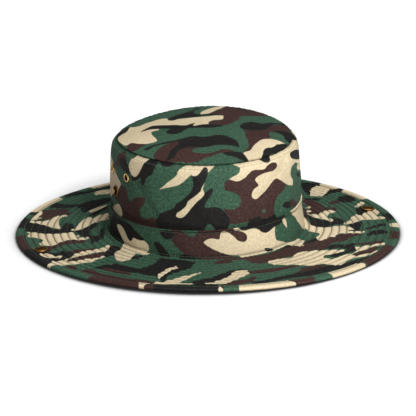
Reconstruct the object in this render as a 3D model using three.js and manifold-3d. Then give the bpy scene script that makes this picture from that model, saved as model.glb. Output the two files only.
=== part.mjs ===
// Wide-brim bush hat of cotton twill: a crown of a wall and a domed tip, a band round its
// foot, a flat quilted brim with a bound edge, four brass vent eyelets, and on each side a
// brass stud on the crown and a brass snap on the brim, which hold the brim up against the crown.
// Millimetres. +Z is up, -Y is the front of the hat, and the brim's edge rests on Z = 0.

import * as THREE from "three";
import { mergeVertices } from "three/addons/utils/BufferGeometryUtils.js";
import Module from "manifold-3d";

const wasm = await Module();
wasm.setup();

// Driving dimensions of the cloth pieces
const HEAD_ROUND = 576; // head size, round the inside of the crown at its foot
const OVAL = 6.6; // the head opening is this much longer than it is wide
const CROWN_HEIGHT = 87.6; // foot of the crown to the seam of the tip
const CROWN_TAPER = 9.1; // the tip's radius is this much less than the foot's
const CROWN_CLOTH = 1.4;
const TIP_CLOTH = 1.2;
const TIP_DOME = 11.6; // rise of the tip above its seam
const TIP_EDGE = 1.1; // depth of the tip's turned-down edge
const BAND_HEIGHT = 24.8;
const BAND_CLOTH = 1.4;
const BAND_STAND = 0.3; // the band's top edge stands off the crown by this much more than its foot
const BRIM_WIDTH = 87; // foot of the band to the bound edge
const BRIM_CLOTH = 1.8;
const BRIM_EDGE_CLOTH = 1; // the brim is pressed thinner inside its binding
const FOOT_HEIGHT = 6.7; // top of the brim at the band, above what the hat rests on
const EDGE_WAVE = 1.8; // how far the two lifted stretches of the edge rise
const EDGE_WAVES = 2; // lifted stretches in one turn of the hat
const EDGE_CREST_ANGLE = -32; // degrees from the front to the first crest
const EDGE_REST = 0.4; // share of the wave, below its middle, that is flat where the brim rests
const BINDING_WIDTH = 8.4;
const BINDING_CLOTH = 1;
const DENT_DEPTH = 1.6; // deepest soft dent of the crown wall
const GAP = 0.3; // clearance between pieces that touch

// Driving dimensions of the brass fittings
const VENT = { round: 8.7, bore: 5.2, barrel: 6.4, proud: 1.3, washer: 0.6 };
const VENT_UP = 65.2; // foot of the crown to the centre of a vent
// Degrees round the crown from the middle of a side to its two vents
const VENT_ANGLES = {
  left: { front: 14.4, back: -6.5 },
  right: { front: -6.5, back: 14.4 },
};
const STUD = { round: 10.4, post: 3.8, barrel: 3.2, proud: 2.8, washer: 0.9 };
const STUD_UP = 46;
const SNAP = { round: 13.4, socket: 4.6, barrel: 4, proud: 2.2 };
const SNAP_IN = 15.4; // edge of the brim to the centre of a snap
const CAP = { round: 12.6, rim: 0.5, dome: 1 };
const DISH_FLOOR = 0.6; // height of the floor of a stud's dish and of a snap's socket
const DRILL_REACH = 8; // a fitting's hole is cut this many times as long as its cloth is thick

// Facets round the hat and round a fitting
const HAT_STEPS = 72;
const FITTING_STEPS = 14;

// How much each seam stands higher at the right side, and at the front, than its mean height
const SEAM_LEANS = {
  tip: { right: 2.1, front: -2.7 },
  bandTop: { right: 3.6, front: -0.1 },
  foot: { right: 1.1, front: -2.7 },
};

// Slow waves in the seam of the tip, by how many there are in one turn of the hat
const TIP_WAVES = [
  { count: 2, rise: -1.2 },
  { count: 3, rise: 0.8 },
];

// How much wider the brim is cut at the right side, and at the front, than its mean width
const BRIM_LEAN = { right: 1.1, front: 0.7 };

// The crown wall from foot to tip: height as a share of CROWN_HEIGHT, and how far the wall has
// come in as a share of CROWN_TAPER. It is drawn in under the band's top edge, and rounds over
// to the seam of the tip.
const WALL_ROWS = [
  { up: 0, in: 0 },
  { up: 0.28, in: 0.41 },
  { up: 0.36, in: 0.21 },
  { up: 0.55, in: 0.2 },
  { up: 0.75, in: 0.27 },
  { up: 0.88, in: 0.36 },
  { up: 0.96, in: 0.5 },
  { up: 1, in: 1 },
];

// The tip from its middle to its edge: radius as a share of the tip's radius, and how far the
// dome has fallen as a share of TIP_DOME
const TIP_ROWS = [
  { out: 0, fall: 0 },
  { out: 0.32, fall: 0.1 },
  { out: 0.6, fall: 0.34 },
  { out: 0.8, fall: 0.6 },
  { out: 0.93, fall: 0.85 },
  { out: 1, fall: 1 },
];

// The brim from the band to the binding: distance as a share of the open width, and how far it
// has come down as a share of the whole fall
const BRIM_ROWS = [
  { out: 0, fall: 0 },
  { out: 0.2, fall: 0.17 },
  { out: 0.45, fall: 0.41 },
  { out: 0.72, fall: 0.68 },
  { out: 1, fall: 1 },
];

// Soft dents of the crown wall: degrees from the front towards the right, height as a share of
// CROWN_HEIGHT, depth as a share of DENT_DEPTH, half width in degrees, half height as a share
const DENTS = [
  { angle: 34, up: 0.66, deep: 0.8, wide: 11, tall: 0.16 },
  { angle: 50, up: 0.5, deep: 0.7, wide: 10, tall: 0.18 },
  { angle: 8, up: 0.62, deep: 0.5, wide: 16, tall: 0.2 },
  { angle: -42, up: 0.6, deep: 0.6, wide: 15, tall: 0.2 },
  { angle: 122, up: 0.62, deep: 0.8, wide: 14, tall: 0.2 },
  { angle: 168, up: 0.56, deep: 1, wide: 18, tall: 0.2 },
  { angle: -148, up: 0.6, deep: 0.7, wide: 15, tall: 0.2 },
];

// The band from its top edge to its foot, as shares of its height
const BAND_ROWS = [1, 0.5, 0];

// Outer faces of the fittings from the rim inwards: radius as a share of the way from the bore,
// post or axis to the rim, and height as a share of how far the fitting stands proud
const VENT_ROWS = [
  { out: 1, up: 0.6 },
  { out: 0.5, up: 1 },
  { out: 0, up: 0.7 },
];
const STUD_RIM_ROWS = [
  { out: 1, up: 0.4 },
  { out: 0.86, up: 0.5 },
];
const STUD_POST_ROWS = [
  { out: 1, up: 0.8 },
  { out: 0.7, up: 1 },
  { out: 0, up: 1 },
];
const SNAP_ROWS = [
  { out: 1, up: 0.45 },
  { out: 0.82, up: 0.8 },
  { out: 0.55, up: 0.6 },
  { out: 0.22, up: 1 },
  { out: 0, up: 0.9 },
];

// How the other edges of the fittings narrow, as shares of their radius or height
const STUD_WASHER_WIDTH = 0.9;
const DISH_WIDTH = 0.72;
const POST_NECK = 0.85;
const CAP_FLAT = 0.7;
const CAP_SHOULDER = 0.85;

// Sizes worked out from the driving dimensions
const HEAD_RADIUS = HEAD_ROUND / (2 * Math.PI);
const WALL_FOOT_RADIUS = HEAD_RADIUS + CROWN_CLOTH;
const BAND_FOOT_RADIUS = WALL_FOOT_RADIUS + GAP + BAND_CLOTH;
const TIP_RADIUS = WALL_FOOT_RADIUS - CROWN_TAPER;
const EDGE_RADIUS = BAND_FOOT_RADIUS + BRIM_WIDTH;
const BINDING_INNER_RADIUS = EDGE_RADIUS - BINDING_WIDTH;
const SNAP_RADIUS = EDGE_RADIUS - SNAP_IN;
const BINDING_THICKNESS = 2 * BINDING_CLOTH + 2 * GAP + BRIM_EDGE_CLOTH;
const BRIM_UNDER_AT_EDGE = BINDING_CLOTH + GAP;

const radians = THREE.MathUtils.degToRad;

// A point of the hat: angle in radians from the front towards the right, radius between the
// half width and the half length of the oval, and height
function place(angle, radius, height) {
  const x = (radius - OVAL / 2) * Math.sin(angle);
  const y = -(radius + OVAL / 2) * Math.cos(angle);
  return new THREE.Vector3(x, y, height);
}

// A column of a table at a share of another column, straight between its rows
function readTable(rows, along, column, share) {
  const next = rows.findIndex((row) => row[along] >= share);
  if (next <= 0) return rows[next === 0 ? 0 : rows.length - 1][column];
  const low = rows[next - 1];
  const high = rows[next];
  const t = (share - low[along]) / (high[along] - low[along]);
  return THREE.MathUtils.lerp(low[column], high[column], t);
}

const leanAt = (lean, angle) => lean.right * Math.sin(angle) + lean.front * Math.cos(angle);

const seamHeight = (seam, mean, angle) => mean + leanAt(SEAM_LEANS[seam], angle);

const footHeight = (angle) => seamHeight("foot", FOOT_HEIGHT, angle);

function tipHeight(angle) {
  const level = seamHeight("tip", FOOT_HEIGHT + CROWN_HEIGHT, angle);
  return TIP_WAVES.reduce((height, wave) => height + wave.rise * Math.sin(wave.count * angle), level);
}

// How far the dents press the wall in at an angle and a share of the crown's height
function dentDepth(angle, up) {
  let depth = 0;
  for (const dent of DENTS) {
    const turned = angle - radians(dent.angle);
    const across = Math.atan2(Math.sin(turned), Math.cos(turned)) / radians(dent.wide);
    const along = (up - dent.up) / dent.tall;
    depth += DENT_DEPTH * dent.deep * Math.exp(-across * across - along * along);
  }
  return depth;
}

const wallRadius = (angle, up) =>
  WALL_FOOT_RADIUS - CROWN_TAPER * readTable(WALL_ROWS, "up", "in", up) - dentDepth(angle, up);

// A point on the outer face of the wall, sunk into it by a depth
function wallPoint(angle, up, depth = 0) {
  const foot = footHeight(angle) + GAP;
  const top = tipHeight(angle) - GAP - TIP_EDGE;
  return place(angle, wallRadius(angle, up) - depth, THREE.MathUtils.lerp(foot, top, up));
}

// Height of the underside of the bound edge: flat on the ground along two stretches, and
// lifted between them
function edgeLift(angle) {
  const wave = Math.cos(EDGE_WAVES * (angle - radians(EDGE_CREST_ANGLE)));
  return EDGE_WAVE * Math.max(0, (wave + EDGE_REST) / (1 + EDGE_REST));
}

// A point of the brim, which is cut wider on one side the further out it goes
function placeOnBrim(angle, radius, height) {
  const out = Math.max(0, radius - BAND_FOOT_RADIUS) / BRIM_WIDTH;
  return place(angle, radius + leanAt(BRIM_LEAN, angle) * out, height);
}

// A face of the brim at an angle and radius, from its height at the foot and over the edge
function brimFace(angle, radius, footDepth, edgeRise) {
  const foot = footHeight(angle) - footDepth;
  const edge = edgeLift(angle) + BRIM_UNDER_AT_EDGE + edgeRise;
  const out = (radius - BAND_FOOT_RADIUS) / (BINDING_INNER_RADIUS - BAND_FOOT_RADIUS);
  const fall = readTable(BRIM_ROWS, "out", "fall", THREE.MathUtils.clamp(out, 0, 1));
  return placeOnBrim(angle, radius, THREE.MathUtils.lerp(foot, edge, fall));
}

const brimTop = (angle, radius) => brimFace(angle, radius, 0, BRIM_EDGE_CLOTH);
const brimUnder = (angle, radius) => brimFace(angle, radius, BRIM_CLOTH, 0);

// A closed ring of cloth swept round the hat. section(angle) gives the two faces of the cloth as
// lists of as many points.
function sweep(section) {
  const loops = [];
  for (let i = 0; i < HAT_STEPS; i++) {
    const { outer, inner } = section((2 * Math.PI * i) / HAT_STEPS);
    loops.push([...outer, ...inner.toReversed()]);
  }
  const size = loops[0].length;
  const index = [];
  for (let i = 0; i < HAT_STEPS; i++) {
    const next = (i + 1) % HAT_STEPS;
    for (let j = 0; j < size; j++) {
      const k = (j + 1) % size;
      index.push(i * size + j, i * size + k, next * size + k);
      index.push(i * size + j, next * size + k, next * size + j);
    }
  }
  const positions = loops.flat().flatMap((point) => point.toArray());
  const geometry = new THREE.BufferGeometry();
  geometry.setAttribute("position", new THREE.Float32BufferAttribute(positions, 3));
  geometry.setIndex(index);
  geometry.computeVertexNormals();
  return geometry;
}

// A turned solid from [radius, height] pairs, its axis along Y
function turn(profile, steps = FITTING_STEPS) {
  return new THREE.LatheGeometry(
    profile.map(([radius, height]) => new THREE.Vector2(radius, height)),
    steps,
  );
}

function toSolid(geometry) {
  const bare = geometry.clone();
  bare.deleteAttribute("normal");
  bare.deleteAttribute("uv");
  const merged = mergeVertices(bare, 1e-4);
  return new wasm.Manifold(
    new wasm.Mesh({
      numProp: 3,
      vertProperties: new Float32Array(merged.attributes.position.array),
      triVerts: new Uint32Array(merged.index.array),
    }),
  );
}

function fromSolid(solid) {
  const mesh = solid.getMesh();
  const geometry = new THREE.BufferGeometry();
  geometry.setAttribute("position", new THREE.BufferAttribute(mesh.vertProperties, 3));
  geometry.setIndex(new THREE.BufferAttribute(mesh.triVerts, 1));
  geometry.computeVertexNormals();
  return geometry;
}

// Cuts a round hole at each seat through a geometry
function cutHoles(geometry, seats) {
  let solid = toSolid(geometry);
  for (const seat of seats) {
    const drill = new THREE.CylinderGeometry(seat.hole, seat.hole, seat.reach, FITTING_STEPS);
    drill.applyQuaternion(seat.turn);
    drill.translate(...seat.point.toArray());
    solid = solid.subtract(toSolid(drill));
  }
  return fromSolid(solid);
}

const cloth = new THREE.MeshStandardMaterial({ color: 0x4f6b4a, roughness: 0.9, metalness: 0 });
const bandCloth = new THREE.MeshStandardMaterial({ color: 0x3c4a36, roughness: 0.9, metalness: 0 });
const brimCloth = new THREE.MeshStandardMaterial({ color: 0x8d8263, roughness: 0.9, metalness: 0 });
const bindingCloth = new THREE.MeshStandardMaterial({ color: 0x3a302b, roughness: 0.9, metalness: 0 });
const brass = new THREE.MeshStandardMaterial({ color: 0xa98a4b, roughness: 0.4, metalness: 1 });

const hat = new THREE.Group();

function addPiece(name, geometry, material) {
  const mesh = new THREE.Mesh(geometry, material);
  mesh.name = name;
  hat.add(mesh);
  return mesh;
}

// Where a fitting sits: a point on the outer face of the cloth, the turn from +Y to the face's
// normal, and the hole that the fitting passes through
function seat(point, alongRound, alongHeight, hole, thickness) {
  const normal = new THREE.Vector3().crossVectors(alongRound, alongHeight).normalize();
  const turnTo = new THREE.Quaternion().setFromUnitVectors(new THREE.Vector3(0, 1, 0), normal);
  return { point, turn: turnTo, hole, reach: DRILL_REACH * thickness };
}

// Between the points that give a face's slope: radians, and a share of a height or radius
const SEAT_STEP = 0.02;

function wallSeat(angleDegrees, heightUp, barrel) {
  const angle = radians(angleDegrees);
  const up = heightUp / CROWN_HEIGHT;
  const alongRound = wallPoint(angle + SEAT_STEP, up).sub(wallPoint(angle - SEAT_STEP, up));
  const alongHeight = wallPoint(angle, up + SEAT_STEP).sub(wallPoint(angle, up - SEAT_STEP));
  return seat(wallPoint(angle, up), alongRound, alongHeight, barrel / 2 + GAP, CROWN_CLOTH);
}

function brimSeat(angleDegrees, barrel) {
  const angle = radians(angleDegrees);
  const at = brimTop;
  const step = SEAT_STEP * SNAP_RADIUS;
  const alongRound = at(angle + SEAT_STEP, SNAP_RADIUS).sub(at(angle - SEAT_STEP, SNAP_RADIUS));
  const inwards = at(angle, SNAP_RADIUS - step).sub(at(angle, SNAP_RADIUS + step));
  return seat(at(angle, SNAP_RADIUS), alongRound, inwards, barrel / 2 + GAP, BRIM_CLOTH);
}

function addFitting(name, geometry, at) {
  const mesh = addPiece(name, geometry, brass);
  mesh.position.copy(at.point);
  mesh.quaternion.copy(at.turn);
}

// Crown tip: a shallow dome whose turned-down edge stands on the top edge of the wall
function crownTip() {
  const inside = TIP_RADIUS - CROWN_CLOTH;
  const dome = TIP_ROWS.map((row) => [TIP_RADIUS * row.out, TIP_DOME * (1 - row.fall)]);
  const hollow = TIP_ROWS.map((row) => [inside * row.out, TIP_DOME * (1 - row.fall) - TIP_CLOTH]);
  hollow[hollow.length - 1][1] = -TIP_EDGE;
  const profile = [...hollow, [TIP_RADIUS, -TIP_EDGE], ...dome.toReversed()];
  const geometry = turn(profile, HAT_STEPS);
  const position = geometry.attributes.position;
  for (let i = 0; i < position.count; i++) {
    const radius = Math.hypot(position.getX(i), position.getZ(i));
    const share = radius / TIP_RADIUS;
    const angle = Math.atan2(position.getX(i), position.getZ(i));
    const lean = tipHeight(angle) - (FOOT_HEIGHT + CROWN_HEIGHT);
    const height = FOOT_HEIGHT + CROWN_HEIGHT + position.getY(i) + lean * share;
    const oval = (OVAL / 2) * share;
    position.setXYZ(i, (radius - oval) * Math.sin(angle), -(radius + oval) * Math.cos(angle), height);
  }
  geometry.computeVertexNormals();
  return geometry;
}

function wallSection(angle) {
  const outer = WALL_ROWS.map((row) => wallPoint(angle, row.up)).toReversed();
  const inner = WALL_ROWS.map((row) => wallPoint(angle, row.up, CROWN_CLOTH)).toReversed();
  return { outer, inner };
}

// Band: its foot stands on the brim, and its top edge stands a little off the crown
function bandSection(angle) {
  const foot = footHeight(angle) + GAP;
  const top = seamHeight("bandTop", FOOT_HEIGHT + BAND_HEIGHT, angle);
  const outer = [];
  const inner = [];
  for (const share of BAND_ROWS) {
    const height = THREE.MathUtils.lerp(foot, top, share);
    const up = (height - foot) / (tipHeight(angle) - GAP - TIP_EDGE - foot);
    const inside = wallRadius(angle, up) + GAP + BAND_STAND * share;
    outer.push(place(angle, inside + BAND_CLOTH, height));
    inner.push(place(angle, inside, height));
  }
  return { outer, inner };
}

// Brim: level under the crown and inside the binding, and sloping down between them
function brimSection(angle) {
  const radii = [EDGE_RADIUS - BINDING_CLOTH - GAP];
  for (const row of BRIM_ROWS.toReversed()) {
    radii.push(THREE.MathUtils.lerp(BAND_FOOT_RADIUS, BINDING_INNER_RADIUS, row.out));
  }
  radii.push(HEAD_RADIUS);
  const outer = radii.map((radius) => brimTop(angle, radius)).toReversed();
  const inner = radii.map((radius) => brimUnder(angle, radius)).toReversed();
  return { outer, inner };
}

// Binding: a strip folded round the edge, its two plies above and below the brim
function bindingSection(angle) {
  const low = edgeLift(angle);
  const high = low + BINDING_THICKNESS;
  const fold = BINDING_CLOTH;
  const turnIn = fold + GAP;
  const outer = [
    placeOnBrim(angle, BINDING_INNER_RADIUS, high),
    placeOnBrim(angle, EDGE_RADIUS - fold, high),
    placeOnBrim(angle, EDGE_RADIUS, high - fold),
    placeOnBrim(angle, EDGE_RADIUS, low + fold),
    placeOnBrim(angle, EDGE_RADIUS - fold, low),
    placeOnBrim(angle, BINDING_INNER_RADIUS, low),
  ];
  const inner = [
    placeOnBrim(angle, BINDING_INNER_RADIUS, high - fold),
    placeOnBrim(angle, EDGE_RADIUS - turnIn, high - fold),
    placeOnBrim(angle, EDGE_RADIUS - fold, high - turnIn),
    placeOnBrim(angle, EDGE_RADIUS - fold, low + turnIn),
    placeOnBrim(angle, EDGE_RADIUS - turnIn, low + fold),
    placeOnBrim(angle, BINDING_INNER_RADIUS, low + fold),
  ];
  return { outer, inner };
}

// A fitting's rows as [radius, height] pairs between two radii
function faceRows(rows, inner, outer, proud) {
  return rows.map((row) => [THREE.MathUtils.lerp(inner, outer, row.out), proud * row.up]);
}

// Vent eyelet: a rolled ring outside, a barrel through the wall and a washer inside
function ventEyelet() {
  const bore = VENT.bore / 2;
  const barrel = VENT.barrel / 2;
  const rim = VENT.round / 2;
  const inside = -CROWN_CLOTH - GAP;
  return turn([
    [bore, inside - VENT.washer],
    [rim, inside - VENT.washer],
    [rim, inside],
    [barrel, inside],
    [barrel, GAP],
    [rim, GAP],
    ...faceRows(VENT_ROWS, bore, rim, VENT.proud),
    [bore, inside - VENT.washer],
  ]);
}

// Crown stud: a dished washer with a post for the snap, riveted to a washer inside the crown
function crownStud() {
  const post = STUD.post / 2;
  const barrel = STUD.barrel / 2;
  const rim = STUD.round / 2;
  const washer = STUD_WASHER_WIDTH * rim;
  const inside = -CROWN_CLOTH - GAP;
  return turn([
    [0, inside - STUD.washer],
    [washer, inside - STUD.washer],
    [washer, inside],
    [barrel, inside],
    [barrel, GAP],
    [rim, GAP],
    ...faceRows(STUD_RIM_ROWS, 0, rim, STUD.proud),
    [DISH_WIDTH * rim, DISH_FLOOR],
    [POST_NECK * post, DISH_FLOOR],
    ...faceRows(STUD_POST_ROWS, 0, post, STUD.proud),
  ]);
}

// Thickness of the brim where the snaps pass through it
const SNAP_CLOTH = brimTop(0, SNAP_RADIUS).z - brimUnder(0, SNAP_RADIUS).z;

// Brim snap: a socket ring on top of the brim, with a barrel down to its cap
function brimSnap() {
  const socket = SNAP.socket / 2;
  const barrel = SNAP.barrel / 2;
  const rim = SNAP.round / 2;
  return turn([
    [0, -SNAP_CLOTH],
    [barrel, -SNAP_CLOTH],
    [barrel, GAP],
    [rim, GAP],
    ...faceRows(SNAP_ROWS, socket, rim, SNAP.proud),
    [socket, DISH_FLOOR],
    [0, DISH_FLOOR],
  ]);
}

// Snap cap: a low dome against the underside of the brim
function snapCap() {
  const rim = CAP.round / 2;
  const top = -SNAP_CLOTH - GAP;
  return turn([
    [0, top - CAP.dome],
    [CAP_FLAT * rim, top - CAP_SHOULDER * CAP.dome],
    [rim, top - CAP.rim],
    [rim, top],
    [0, top],
  ]);
}

const sides = [
  { name: "left", angle: -90 },
  { name: "right", angle: 90 },
];

const wallSeats = [];
const brimSeats = [];
for (const side of sides) {
  for (const [end, turned] of Object.entries(VENT_ANGLES[side.name])) {
    const at = wallSeat(side.angle + turned, VENT_UP, VENT.barrel);
    wallSeats.push(at);
    addFitting(`vent_eyelet_${side.name}_${end}`, ventEyelet(), at);
  }
  const studAt = wallSeat(side.angle, STUD_UP, STUD.barrel);
  wallSeats.push(studAt);
  addFitting(`crown_stud_${side.name}`, crownStud(), studAt);
  const snapAt = brimSeat(side.angle, SNAP.barrel);
  brimSeats.push(snapAt);
  addFitting(`brim_snap_${side.name}`, brimSnap(), snapAt);
  addFitting(`snap_cap_${side.name}`, snapCap(), snapAt);
}

addPiece("crown_tip", crownTip(), cloth);
addPiece("crown_wall", cutHoles(sweep(wallSection), wallSeats), cloth);
addPiece("hat_band", sweep(bandSection), bandCloth);
addPiece("brim", cutHoles(sweep(brimSection), brimSeats), brimCloth);
addPiece("brim_binding", sweep(bindingSection), bindingCloth);

export default hat;
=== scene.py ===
import math

import bpy
import numpy as np
from mathutils import Matrix, Vector


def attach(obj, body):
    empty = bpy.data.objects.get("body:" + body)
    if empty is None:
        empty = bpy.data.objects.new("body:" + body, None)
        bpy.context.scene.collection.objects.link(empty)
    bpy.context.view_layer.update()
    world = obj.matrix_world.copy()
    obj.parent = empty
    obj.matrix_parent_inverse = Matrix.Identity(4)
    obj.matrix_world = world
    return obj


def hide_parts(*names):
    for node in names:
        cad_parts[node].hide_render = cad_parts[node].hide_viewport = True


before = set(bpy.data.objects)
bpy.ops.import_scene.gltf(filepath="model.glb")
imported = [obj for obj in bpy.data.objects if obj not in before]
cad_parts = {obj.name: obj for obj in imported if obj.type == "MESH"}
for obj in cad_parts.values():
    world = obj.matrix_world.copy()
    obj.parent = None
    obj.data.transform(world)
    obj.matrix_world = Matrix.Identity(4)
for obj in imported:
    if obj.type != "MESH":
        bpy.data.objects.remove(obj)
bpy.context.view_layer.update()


# Crown wall. A strip of printed cotton twill, cut a little taller than it stands, sewn end to end
# into a ring and to the tip. It stands nearly straight, rounds over at the top, is drawn in under
# the band, and has the soft dents of a hat that has been packed. Angles run from the front of the
# hat towards its right side.
MM = 0.001
head_round = 0.576
oval = 0.0066
crown_height = 0.0876
crown_taper = 0.0091
crown_cloth = 0.0014
foot_height = 0.0067
tip_edge = 0.0011
clearance = 0.0003
wall_foot_radius = head_round / (2 * math.pi) + crown_cloth
wall_columns = 520
wall_rows = 84
wall_heights = [0, 0.28, 0.36, 0.55, 0.75, 0.88, 0.96, 1]
wall_inset = [0, 0.41, 0.21, 0.2, 0.27, 0.36, 0.5, 1]

# angle in degrees, height as a share, depth in mm, half width in degrees, half height as a share
wall_dents = [
    (34, 0.66, 1.3, 11, 0.16),
    (50, 0.5, 1.1, 10, 0.18),
    (8, 0.62, 0.8, 16, 0.2),
    (-42, 0.6, 1.0, 15, 0.2),
    (122, 0.62, 1.3, 14, 0.2),
    (168, 0.56, 1.6, 18, 0.2),
    (-148, 0.6, 1.1, 15, 0.2),
]

# Creases run from one end to the other: degrees and share of the height of each end, depth in mm,
# half width in mm
wall_creases = [
    (36, 0.93, 14, 0.6, 0.9, 4.5),
    (44, 0.75, 30, 0.42, 0.6, 4.0),
    (6, 0.62, 12, 0.36, 0.5, 3.5),
    (-30, 0.8, -46, 0.5, 0.6, 5.0),
    (-66, 0.7, -50, 0.38, 0.5, 4.5),
    (110, 0.9, 130, 0.5, 0.8, 5.0),
    (160, 0.7, 186, 0.4, 0.9, 6.0),
    (-140, 0.85, -124, 0.5, 0.8, 5.0),
]

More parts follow.
